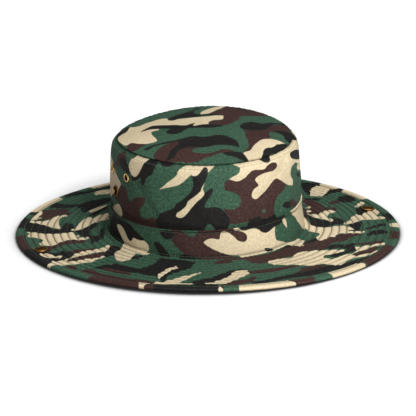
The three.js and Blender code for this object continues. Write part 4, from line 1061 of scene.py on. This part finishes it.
def edge_lift(angle):
    return 0.0018 * np.maximum(0, (np.cos(2 * (angle + math.radians(32))) + 0.4) / 1.4)


def brim_heights(angle, radius):
    """The brim's underside and top, without its grooves."""
    out = np.clip((radius - band_foot_radius) / (binding_inner_radius - band_foot_radius), 0, 1)
    fall = np.interp(out, brim_out, brim_fall)
    edge = edge_lift(angle) + brim_under_at_edge
    under = (foot_line(angle) - brim_cloth) * (1 - fall) + edge * fall
    top = foot_line(angle) * (1 - fall) + (edge + brim_edge_cloth) * fall
    return under, top


brim_inner_radius = head_round / (2 * math.pi)
brim_outer_radius = edge_radius - binding_cloth - clearance
wave_fade = 0.01


def brim_radius(share):
    """The brim's section as one closed loop: in along the top, then out along the underside.
    Rows crowd together at the grooves."""
    run = 1 - np.abs(2 * share - 1)
    radius = brim_outer_radius + (brim_inner_radius - brim_outer_radius) * run
    turn = 2 * math.pi * (radius - quilt_first) / quilt_pitch
    return radius - 0.5 * quilt_pitch / (2 * math.pi) * np.sin(turn) * (run > 0.001) * (run < 0.999)


def brim_wave(angle, radius):
    """A slow wave of the whole brim, which fades at the band and at the binding."""
    from_band = np.clip((radius - band_foot_radius) / wave_fade, 0, 1)
    from_edge = np.clip((binding_inner_radius - radius) / wave_fade, 0, 1)
    return 0.5 * MM * soft_waves(14, angle, radius / wall_foot_radius, 7) * (from_band * from_edge)


def brim_point(angle, share):
    radius = brim_radius(share)
    under, top = brim_heights(angle, radius)
    above = share < 0.5
    groove = brim_groove(radius)
    loose = 1 - groove / groove_depth
    ring = np.floor((radius - quilt_first) / quilt_pitch)
    folds = np.sin(140 * angle + 2.4 * ring + 2 * np.sin(9 * angle + ring))
    gather = folds * np.sin(31 * angle + 1.7 * ring)
    wave = brim_wave(angle, radius)
    top = top + wave + 0.25 * MM * gather * loose + quilt_puff
    height = np.where(above, top - groove, under + wave * 0.5 + 0.2 * groove)
    return place_on_brim(angle, radius, height)


def brim_flat(angle, share):
    return place_on_brim(angle, brim_radius(share), 0.0)[:, :2]


brim = cloth("brim_cloth", brim_columns, 2 * brim_top_rows, brim_point, brim_flat)


def polar_patches(rows):
    """Patches charted in degrees and millimetres from the middle, as outlines seen from above."""
    patches = []
    for row in rows:
        angle, radius = np.array(row[1:], dtype=float).T
        patches.append((row[0], place(np.radians(angle), radius * MM, 0.0)[:, :2]))
    return patches


# The stitching gathers the cloth, which breaks the edges of the print from ring to ring. The
# underside is another ply, cut from another part of the printed cloth.
brim_spots = plan(brim)
brim_rings = (brim_radius(read_attribute(brim, "share")) - quilt_first) / quilt_pitch
ring_gaps = (brim_rings - np.clip(np.round(brim_rings), 0, quilt_rings - 1)) * quilt_pitch
# Painted shade in the quilting grooves.
paint_seam_shade(brim, hump(ring_gaps / (0.7 * MM)))
brim_below = read_attribute(brim, "share") > 0.5
brim_angle = read_attribute(brim, "angle")
shift = 0.16 * MM * np.sin(2 * math.pi * brim_rings + 9 * brim_angle)
shift = shift + 0.3 * MM * np.sin(2.9 * np.round(brim_rings) + 23 * brim_angle)
shift = shift * np.clip(brim_rings, 0, 1)
around = np.stack([np.cos(brim_angle), np.sin(brim_angle)], axis=-1)
brim_spots += shift[:, None] * around
ring_number = np.round(brim_rings)
ragged = 2.6 * MM * np.sin(5.3 * ring_number + 7 * brim_angle) * np.clip(brim_rings, 0, 1)
under_turn = math.radians(115)
turn_plan = np.array([
    [math.cos(under_turn), -math.sin(under_turn)],
    [math.sin(under_turn), math.cos(under_turn)],
])
brim_spots[brim_below] = (brim_spots[brim_below] * [-1, 1]) @ turn_plan
print_cloth(brim, brim_spots, polar_patches(brim_print), dark_shift=ragged[:, None] * around)
brim.data.materials.append(printed_face)
bpy.ops.object.shade_smooth_by_angle(angle=math.radians(60))
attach(brim, "root")
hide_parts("brim")


# Binding. A strip of the same twill folded round the edge of the brim and stitched through near
# its inner edges. Print rows give a colour and where it starts and ends round the hat, in degrees.
binding_thickness = 2 * binding_cloth + 2 * clearance + brim_edge_cloth
binding_columns = 640
binding_rows = 44
binding_seam = 1.6 * MM
binding_print = [
    ("tan", -145.5, -130.4), ("black", -130.4, -126), ("black", -122, -114), ("brown", -106, -90.5),
    ("black", -90.5, -75.5), ("tan", -76, -72), ("brown", -56, -34), ("tan", -41.6, -37.8),
    ("black", -35, -17.3), ("tan", -17.4, -16.3),
    ("tan", -10.4, 4.2), ("brown", 4.2, 13), ("tan", 19.1, 31), ("black", 31, 33), ("brown", 34, 50),
    ("brown", 57, 66), ("tan", 70, 72), ("black", 76, 84), ("tan", 100, 109), ("black", 109.5, 113.5),
    ("tan", 113.5, 119), ("black", 119, 124), ("brown", 128, 140), ("tan", 146, 156),
    ("black", 160, 172), ("brown", 176, 188), ("tan", 190, 198), ("black", 204, 212),
]


def binding_section():
    """Outline of the folded strip: radius and height from the fold's lowest point, once round."""
    half = binding_thickness / 2
    path = [(binding_inner_radius, binding_thickness)]
    for step in range(9):
        turn = math.pi / 2 - math.pi * step / 8
        path.append((edge_radius - half + half * math.cos(turn), half + half * math.sin(turn)))
    path.append((binding_inner_radius, 0))
    path.append((binding_inner_radius, binding_cloth))
    inner = half - binding_cloth
    for step in range(9):
        turn = -math.pi / 2 + math.pi * step / 8
        path.append((edge_radius - half + inner * math.cos(turn), half + inner * math.sin(turn)))
    path.append((binding_inner_radius, binding_thickness - binding_cloth))
    path.append(path[0])
    return np.array(path)


binding_path = binding_section()
binding_run = np.concatenate([[0], np.cumsum(np.linalg.norm(np.diff(binding_path, axis=0), axis=1))])


def binding_point(angle, share):
    run = share * binding_run[-1]
    radius = np.interp(run, binding_run, binding_path[:, 0])
    height = np.interp(run, binding_run, binding_path[:, 1])
    inwards = (edge_radius - radius) / binding_width
    sunk = 0.35 * MM * np.exp(-(((edge_radius - radius) / MM - 6.8) / 0.8) ** 2)
    above = height > binding_thickness / 2
    height = height - np.where(above, sunk, 0)
    swell = 0.12 * MM * np.sin(53 * angle) * np.sin(31 * angle + 2) * (1 - inwards)
    return place_on_brim(angle, radius + swell, height + edge_lift(angle))


def binding_flat(angle, share):
    return np.stack([angle * edge_radius, share * binding_run[-1]], axis=-1)


def strip_patches(rows):
    """Short lengths of colour across the strip, with slanting ends."""
    patches = []
    for number, (colour, start, end) in enumerate(rows):
        slant = math.radians(1.2) * (-1) ** number
        start, end = math.radians(start), math.radians(end)
        low, high = -0.01, binding_run[-1] + 0.01
        third = (high - low) / 3
        corners = [
            (start + slant, low), (start - slant, low + third), (start, high - third), (start, high),
            (end, high), (end - slant, high - third), (end + slant, low + third), (end, low),
        ]
        patches.append((colour, np.array(corners) * [edge_radius, 1]))
    return patches


brim_binding = cloth("brim_binding_cloth", binding_columns, binding_rows, binding_point, binding_flat)
binding_share = read_attribute(brim_binding, "share")
binding_points = binding_flat(read_attribute(brim_binding, "angle"), binding_share)
print_cloth(brim_binding, binding_points, strip_patches(binding_print), 2 * math.pi * edge_radius)
row_gaps = binding_share * binding_run[-1] - binding_seam
# Painted shade along the binding's stitched row.
paint_seam_shade(brim_binding, hump(row_gaps / (0.7 * MM)))
brim_binding.data.materials.append(printed_face)
bpy.ops.object.shade_smooth_by_angle(angle=math.radians(60))
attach(brim_binding, "root")
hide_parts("brim_binding")


# Stitching. Olive thread in straight stitches: rings of quilting on the brim, a row through the
# binding, rows along the band's edges, and topstitching below the seam of the tip.
thread_radius = 0.00028
thread_dye = tone(88, 98, 82)
thread_material = bpy.data.materials.new("olive_thread")
thread_material.use_nodes = True
thread_shader = thread_material.node_tree.nodes["Principled BSDF"]
thread_shader.inputs["Roughness"].default_value = 0.75
thread_shader.inputs["Sheen Weight"].default_value = 0.2
twist = thread_material.node_tree.nodes.new("ShaderNodeTexNoise")
twist.inputs["Scale"].default_value = 900
strands = thread_material.node_tree.nodes.new("ShaderNodeMix")
strands.data_type = "RGBA"
strands.inputs[6].default_value = tone(66, 76, 62)
strands.inputs[7].default_value = thread_dye
object_place = thread_material.node_tree.nodes.new("ShaderNodeTexCoord")
wire(thread_material.node_tree, object_place.outputs["Object"], twist.inputs["Vector"])
wire(thread_material.node_tree, twist.outputs["Fac"], strands.inputs[0])
wire(thread_material.node_tree, strands.outputs[2], thread_shader.inputs["Base Color"])


def stitching(name, rows):
    """Rows of stitches joined in one mesh. A row is a point(angle) on the cloth, the direction out
    of the cloth, the pitch and the length of a stitch."""
    bpy.ops.object.select_all(action="DESELECT")
    bpy.ops.mesh.primitive_uv_sphere_add(segments=6, ring_count=4, radius=1)
    stitch = bpy.context.object
    corners = np.array([corner.co for corner in stitch.data.vertices])
    faces = [list(face.vertices) for face in stitch.data.polygons]
    bpy.data.objects.remove(stitch)
    all_corners = []
    all_faces = []
    for point, outwards, pitch, length in rows:
        sample = np.linspace(0, 2 * math.pi, 721)
        around = np.linalg.norm(np.diff(point(sample), axis=0), axis=1).sum()
        count = round(around / pitch)
        middle = np.arange(count) * 2 * math.pi / count
        step = math.pi * length / around
        start, end = point(middle - step), point(middle + step)
        along = (end - start) / np.linalg.norm(end - start, axis=1, keepdims=True)
        out = outwards(middle)
        side = np.cross(out, along)
        centre = (start + end) / 2 + out * 0.2 * thread_radius
        for number in range(count):
            base = len(all_corners)
            turned_corners = (
                centre[number]
                + corners[:, 2:3] * along[number] * length / 2
                + corners[:, 0:1] * side[number] * thread_radius
                + corners[:, 1:2] * out[number] * thread_radius
            )
            all_corners.extend(turned_corners)
            all_faces.extend([base + corner for corner in face] for face in faces)
    mesh = bpy.data.meshes.new(name)
    mesh.from_pydata([tuple(corner) for corner in all_corners], [], all_faces)
    mesh.materials.append(thread_material)
    piece = bpy.data.objects.new(name, mesh)
    bpy.context.collection.objects.link(piece)
    bpy.ops.object.select_all(action="DESELECT")
    piece.select_set(True)
    bpy.context.view_layer.objects.active = piece
    bpy.ops.object.mode_set(mode="EDIT")
    bpy.ops.mesh.select_all(action="SELECT")
    bpy.ops.mesh.normals_make_consistent(inside=False)
    bpy.ops.object.mode_set(mode="OBJECT")
    bpy.ops.object.shade_smooth()
    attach(piece, "root")
    return piece


def upwards(angle):
    return np.stack([0 * angle, 0 * angle, 1 + 0 * angle], axis=-1)


def outwards(angle):
    return np.stack([np.sin(angle), -np.cos(angle), 0 * angle], axis=-1)


def quilt_height(angle, radius):
    """The top of the brim at the bottom of a groove."""
    top = brim_heights(angle, radius + 0 * angle)[1]
    return top + brim_wave(angle, radius) + quilt_puff - groove_depth


def quilt_ring(radius):
    """The bottom of one groove, all round the brim."""

    def row(angle):
        return place_on_brim(angle, radius, quilt_height(angle, radius))

    return row


quilt_radii = [quilt_first + ring * quilt_pitch for ring in range(quilt_rings)]
quilt_rows = [(quilt_ring(radius), upwards, 2.7 * MM, 2.0 * MM) for radius in quilt_radii]
stitching("brim_quilting", quilt_rows)


def row_on(point, share):
    """A row at one share of a piece of cloth, all round the hat."""

    def row(angle):
        return point(angle, share + 0 * angle)

    return row


wall_top_seam = 0.968
binding_row = row_on(binding_point, binding_seam / binding_run[-1])
band_top_row = row_on(band_point, band_top_seam)
band_foot_row = row_on(band_point, band_foot_seam)
wall_top_row = row_on(wall_point, wall_top_seam)
stitching("binding_stitching", [(binding_row, upwards, 2.9 * MM, 2.2 * MM)])
stitching(
    "crown_stitching",
    [
        (band_top_row, outwards, 2.6 * MM, 1.9 * MM),
        (band_foot_row, outwards, 2.6 * MM, 1.9 * MM),
        (wall_top_row, outwards, 2.5 * MM, 1.6 * MM),
    ],
)


# Brass fittings. Vent eyelets rolled over at the edge, studs on the crown, and snaps on the brim
# with caps below it: turned and pressed brass, worn bright on the edges and dull in the hollows.
# A profile is the radius and height above the cloth, in mm, and how deep the patina is there.
brass = bpy.data.materials.new("aged_brass")
brass.use_nodes = True
brass_tree = brass.node_tree
brass_shader = brass_tree.nodes["Principled BSDF"]
brass_shader.inputs["Metallic"].default_value = 1
mottle = brass_tree.nodes.new("ShaderNodeTexNoise")
mottle.inputs["Scale"].default_value = 700
mottle.inputs["Detail"].default_value = 4
metal_place = brass_tree.nodes.new("ShaderNodeTexCoord")
wire(brass_tree, metal_place.outputs["Object"], mottle.inputs["Vector"])
hollows = brass_tree.nodes.new("ShaderNodeAttribute")
hollows.attribute_name = "patina"
stained = brass_tree.nodes.new("ShaderNodeMath")
stained.operation = "MULTIPLY_ADD"
stained.inputs[1].default_value = 0.5
wire(brass_tree, mottle.outputs["Fac"], stained.inputs[0])
wire(brass_tree, hollows.outputs["Fac"], stained.inputs[2])
patina = brass_tree.nodes.new("ShaderNodeValToRGB")
patina.color_ramp.elements[0].position = 0.2
patina.color_ramp.elements[0].color = tone(236, 200, 138)
patina.color_ramp.elements[1].position = 1
patina.color_ramp.elements[1].color = tone(58, 42, 26)
tarnish = patina.color_ramp.elements.new(0.55)
tarnish.color = tone(150, 112, 64)
wire(brass_tree, stained.outputs[0], patina.inputs[0])
wire(brass_tree, patina.outputs[0], brass_shader.inputs["Base Color"])
dulled = brass_tree.nodes.new("ShaderNodeMapRange")
dulled.inputs["From Min"].default_value = 0.1
dulled.inputs["To Min"].default_value = 0.2
dulled.inputs["To Max"].default_value = 0.8
wire(brass_tree, stained.outputs[0], dulled.inputs["Value"])
wire(brass_tree, dulled.outputs["Result"], brass_shader.inputs["Roughness"])

turning_steps = 48
stud_up = 0.046
snap_radius = edge_radius - 0.0154
snap_under, snap_top = (float(height) for height in brim_heights(math.pi / 2, snap_radius))
snap_cloth = (snap_top - snap_under) / MM
cap_top = -snap_cloth - 0.3
vent_profile = [
    (2.6, -2.3, 0.6), (4.35, -2.3, 0.3), (4.35, -1.7, 0.3), (3.2, -1.7, 0.8), (3.2, 0.3, 0.8),
    (4.2, 0.25, 0.4), (4.4, 0.55, 0.1), (4.2, 0.95, 0), (3.7, 1.25, 0), (3.1, 1.25, 0.05),
    (2.7, 0.95, 0.35), (2.6, 0.4, 0.7),
]
stud_profile = [
    (0.05, -2.3, 0.3), (4.7, -2.3, 0.2), (4.7, -1.7, 0.2), (1.6, -1.7, 0.8), (1.6, 0.2, 0.8),
    (5, 0.2, 0.7), (5.25, 0.5, 0.5), (5.15, 0.95, 0.35), (4.7, 1.25, 0.3), (4.2, 1.15, 0.5),
    (3.7, 0.7, 0.9), (2.2, 0.6, 1), (1.75, 0.9, 0.9), (1.7, 2, 0.7), (1.9, 2.3, 0.5),
    (1.9, 2.6, 0.3), (1.5, 2.8, 0.2), (0.05, 2.85, 0.25),
]
snap_profile = [
    (0.05, -snap_cloth, 0.5), (2, -snap_cloth, 0.5), (2, 0.2, 0.8), (6.4, 0.2, 0.7),
    (6.7, 0.6, 0.5), (6.6, 1.1, 0.35), (6.1, 1.6, 0.2), (5.3, 1.75, 0.3), (4.6, 1.5, 0.7),
    (4, 1.45, 0.8), (3.4, 2, 0.5), (2.9, 2.2, 0.35), (2.5, 2.15, 0.45), (2.3, 1.8, 0.8),
    (2.2, 0.6, 1), (0.05, 0.6, 1),
]
cap_profile = [
    (0.05, cap_top - 1, 0.05), (4.4, cap_top - 0.85, 0.1), (6.3, cap_top - 0.5, 0.15),
    (6.3, cap_top, 0.3), (0.05, cap_top, 0.6),
]


def turned_piece(name, profile, seat, closed=False):
    """A piece turned from a profile, ring upon ring from a circle, and set on its seat."""
    bpy.ops.object.select_all(action="DESELECT")
    first = profile[0]
    bpy.ops.mesh.primitive_circle_add(
        vertices=turning_steps, radius=first[0] * MM, location=(0, 0, 0),
        fill_type="NOTHING" if closed else "NGON",
    )
    piece = bpy.context.object
    piece.name = name
    bpy.ops.object.mode_set(mode="EDIT")
    bpy.ops.mesh.select_all(action="SELECT")
    bpy.ops.transform.translate(value=(0, 0, first[1] * MM))
    rings = profile[1:] + ([first] if closed else [])
    radius, height = first[:2]
    for next_radius, next_height, _ in rings:
        if closed:
            bpy.ops.mesh.extrude_edges_move(
                TRANSFORM_OT_translate={"value": (0, 0, (next_height - height) * MM)}
            )
        else:
            bpy.ops.mesh.extrude_region_move(
                TRANSFORM_OT_translate={"value": (0, 0, (next_height - height) * MM)}
            )
        growth = next_radius / radius
        bpy.ops.transform.resize(
            value=(growth, growth, 1), center_override=(0, 0, next_height * MM)
        )
        radius, height = next_radius, next_height
    bpy.ops.mesh.select_all(action="SELECT")
    bpy.ops.mesh.remove_doubles(threshold=1e-6)
    bpy.ops.mesh.normals_make_consistent(inside=False)
    bpy.ops.object.mode_set(mode="OBJECT")
    shape = np.array(profile)
    dull = []
    for corner in piece.data.vertices:
        from_axis = np.hypot(corner.co.x, corner.co.y) / MM
        off = np.hypot(from_axis - shape[:, 0], corner.co.z / MM - shape[:, 1])
        dull.append(shape[off.argmin(), 2])
    piece.data.attributes.new("patina", "FLOAT", "POINT").data.foreach_set("value", dull)
    piece.data.transform(seat)
    bpy.ops.object.shade_smooth_by_angle(angle=math.radians(50))
    piece.data.materials.append(brass)
    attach(piece, "root")
    return piece


def brim_seat(angle):
    """Where a fitting sits on the brim's top, with its middle at the snaps' radius."""
    turn = np.array([angle, angle + 1e-4, angle])
    reach = np.array([snap_radius, snap_radius, snap_radius - 1e-5])
    here, right, inner = place_on_brim(turn, reach, brim_heights(turn, reach)[1])
    return seat_at(here, right, inner)


for place_name, seat in zip(("left_front", "left_back", "right_front", "right_back"), vent_seats):
    vent = turned_piece("vent_" + place_name, vent_profile, seat, closed=True)
    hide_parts("vent_eyelet_" + place_name)
for side, angle in (("left", -math.pi / 2), ("right", math.pi / 2)):
    stud = turned_piece("stud_" + side, stud_profile, wall_seat(angle, stud_up))
    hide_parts("crown_stud_" + side)
    snap = turned_piece("snap_" + side, snap_profile, brim_seat(angle))
    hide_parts("brim_snap_" + side)
    cap = turned_piece("cap_" + side, cap_profile, brim_seat(angle))
    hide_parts("snap_cap_" + side)
for node_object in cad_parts.values():
    node_object.data.materials.clear()
    node_object.data.materials.append(brass)


# Studio. A pale seamless floor, painted darker round the hat as a painted shadow, a soft key light from the
# front, weaker ones from overhead and from the back, a lamp close in front, and the camera low at the front
# left of the hat.
bpy.ops.object.select_all(action="DESELECT")
bpy.ops.mesh.primitive_plane_add(size=30, location=(0, 0, 0))
floor = bpy.context.object
floor.name = "studio_floor"
floor_material = bpy.data.materials.new("studio_paper")
floor_material.use_nodes = True
paper = floor_material.node_tree.nodes["Principled BSDF"]
paper.inputs["Base Color"].default_value = (0.85, 0.85, 0.85, 1)
paper.inputs["Roughness"].default_value = 1
paper_tree = floor_material.node_tree
# Painted shadow: the paper's colour is darkened where the hat occludes it, most under the brim's edge.
close = paper_tree.nodes.new("ShaderNodeAmbientOcclusion")
close.samples = 16
close.inputs["Distance"].default_value = 0.13
painted_floor_shadow = paper_tree.nodes.new("ShaderNodeMath")
painted_floor_shadow.operation = "POWER"
painted_floor_shadow.inputs[1].default_value = 3.4
shaded = paper_tree.nodes.new("ShaderNodeVectorMath")
shaded.operation = "SCALE"
shaded.inputs[0].default_value = (0.85, 0.85, 0.85)
wire(paper_tree, close.outputs["AO"], painted_floor_shadow.inputs[0])
wire(paper_tree, painted_floor_shadow.outputs[0], shaded.inputs["Scale"])
wire(paper_tree, shaded.outputs[0], paper.inputs["Base Color"])
glow = paper_tree.nodes.new("ShaderNodeEmission")
glow.inputs["Strength"].default_value = 0.03
lit_paper = paper_tree.nodes.new("ShaderNodeAddShader")
lens_ray = paper_tree.nodes.new("ShaderNodeLightPath")
paper_seen = paper_tree.nodes.new("ShaderNodeMixShader")
wire(paper_tree, paper.outputs[0], lit_paper.inputs[0])
wire(paper_tree, glow.outputs[0], lit_paper.inputs[1])
wire(paper_tree, lens_ray.outputs["Is Camera Ray"], paper_seen.inputs[0])
wire(paper_tree, paper.outputs[0], paper_seen.inputs[1])
wire(paper_tree, lit_paper.outputs[0], paper_seen.inputs[2])
wire(paper_tree, paper_seen.outputs[0], paper_tree.nodes["Material Output"].inputs["Surface"])
floor.data.materials.append(floor_material)

world = bpy.data.worlds.new("studio")
world.use_nodes = True
bpy.context.scene.world = world
world_tree = world.node_tree
background = world_tree.nodes["Background"]
background.inputs["Color"].default_value = (1, 1, 1, 1)
background.inputs["Strength"].default_value = 0.15
seen = world_tree.nodes.new("ShaderNodeBackground")
seen.inputs["Strength"].default_value = 1.1
camera_ray = world_tree.nodes.new("ShaderNodeLightPath")
either = world_tree.nodes.new("ShaderNodeMixShader")
wire(world_tree, camera_ray.outputs["Is Camera Ray"], either.inputs[0])
wire(world_tree, background.outputs[0], either.inputs[1])
wire(world_tree, seen.outputs[0], either.inputs[2])
wire(world_tree, either.outputs[0], world_tree.nodes["World Output"].inputs["Surface"])


def soft_light(name, azimuth, elevation, strength, spread, shine):
    """A large far soft light. shine is whether it also shows in what the surfaces reflect."""
    turn, tilt = math.radians(azimuth), math.radians(elevation)
    towards = Vector((math.sin(turn) * math.cos(tilt), -math.cos(turn) * math.cos(tilt), math.sin(tilt)))
    lamp = bpy.data.lights.new(name, "SUN")
    lamp.energy = strength
    lamp.angle = math.radians(spread)
    light = bpy.data.objects.new(name, lamp)
    light.rotation_euler = towards.to_track_quat("Z", "Y").to_euler()
    light.visible_glossy = shine
    bpy.context.collection.objects.link(light)


soft_light("key_light", 4, 38, 2.4, 24, True)
soft_light("overhead_light", 20, 72, 0.7, 50, True)
soft_light("back_light", 158, 36, 1.1, 22, False)

front_lamp = bpy.data.lights.new("front_light", "AREA")
front_lamp.energy = 0.75
front_lamp.size = 0.25
front_light = bpy.data.objects.new("front_light", front_lamp)
front_light.location = (0.03, -0.42, 0.3)
front_light.rotation_euler = Vector((0.03, -0.27, 0.3)).to_track_quat("Z", "Y").to_euler()
bpy.context.collection.objects.link(front_light)

camera_azimuth = -20.0
camera_elevation = 16.9
camera_distance = 3.0
camera_roll = 0.95
sensor = 0.036
frame_width = 416 / 1.07 * MM
aim = Vector((1.85, -0.67, 23.7)) * MM
turn, tilt = math.radians(camera_azimuth), math.radians(camera_elevation)
towards = Vector((math.sin(turn) * math.cos(tilt), -math.cos(turn) * math.cos(tilt), math.sin(tilt)))
camera_data = bpy.data.cameras.new("camera")
camera_data.sensor_width = 36
camera_data.lens = 1000 * sensor * camera_distance / frame_width
camera = bpy.data.objects.new("camera", camera_data)
look = towards.to_track_quat("Z", "Y").to_matrix().to_4x4()
roll = Matrix.Rotation(math.radians(-camera_roll), 4, "Z")
camera.matrix_world = Matrix.Translation(aim + towards * camera_distance) @ look @ roll
bpy.context.collection.objects.link(camera)
bpy.context.scene.camera = camera
bpy.context.scene.view_settings.view_transform = "Standard"
bpy.context.scene.view_settings.look = "Medium High Contrast"
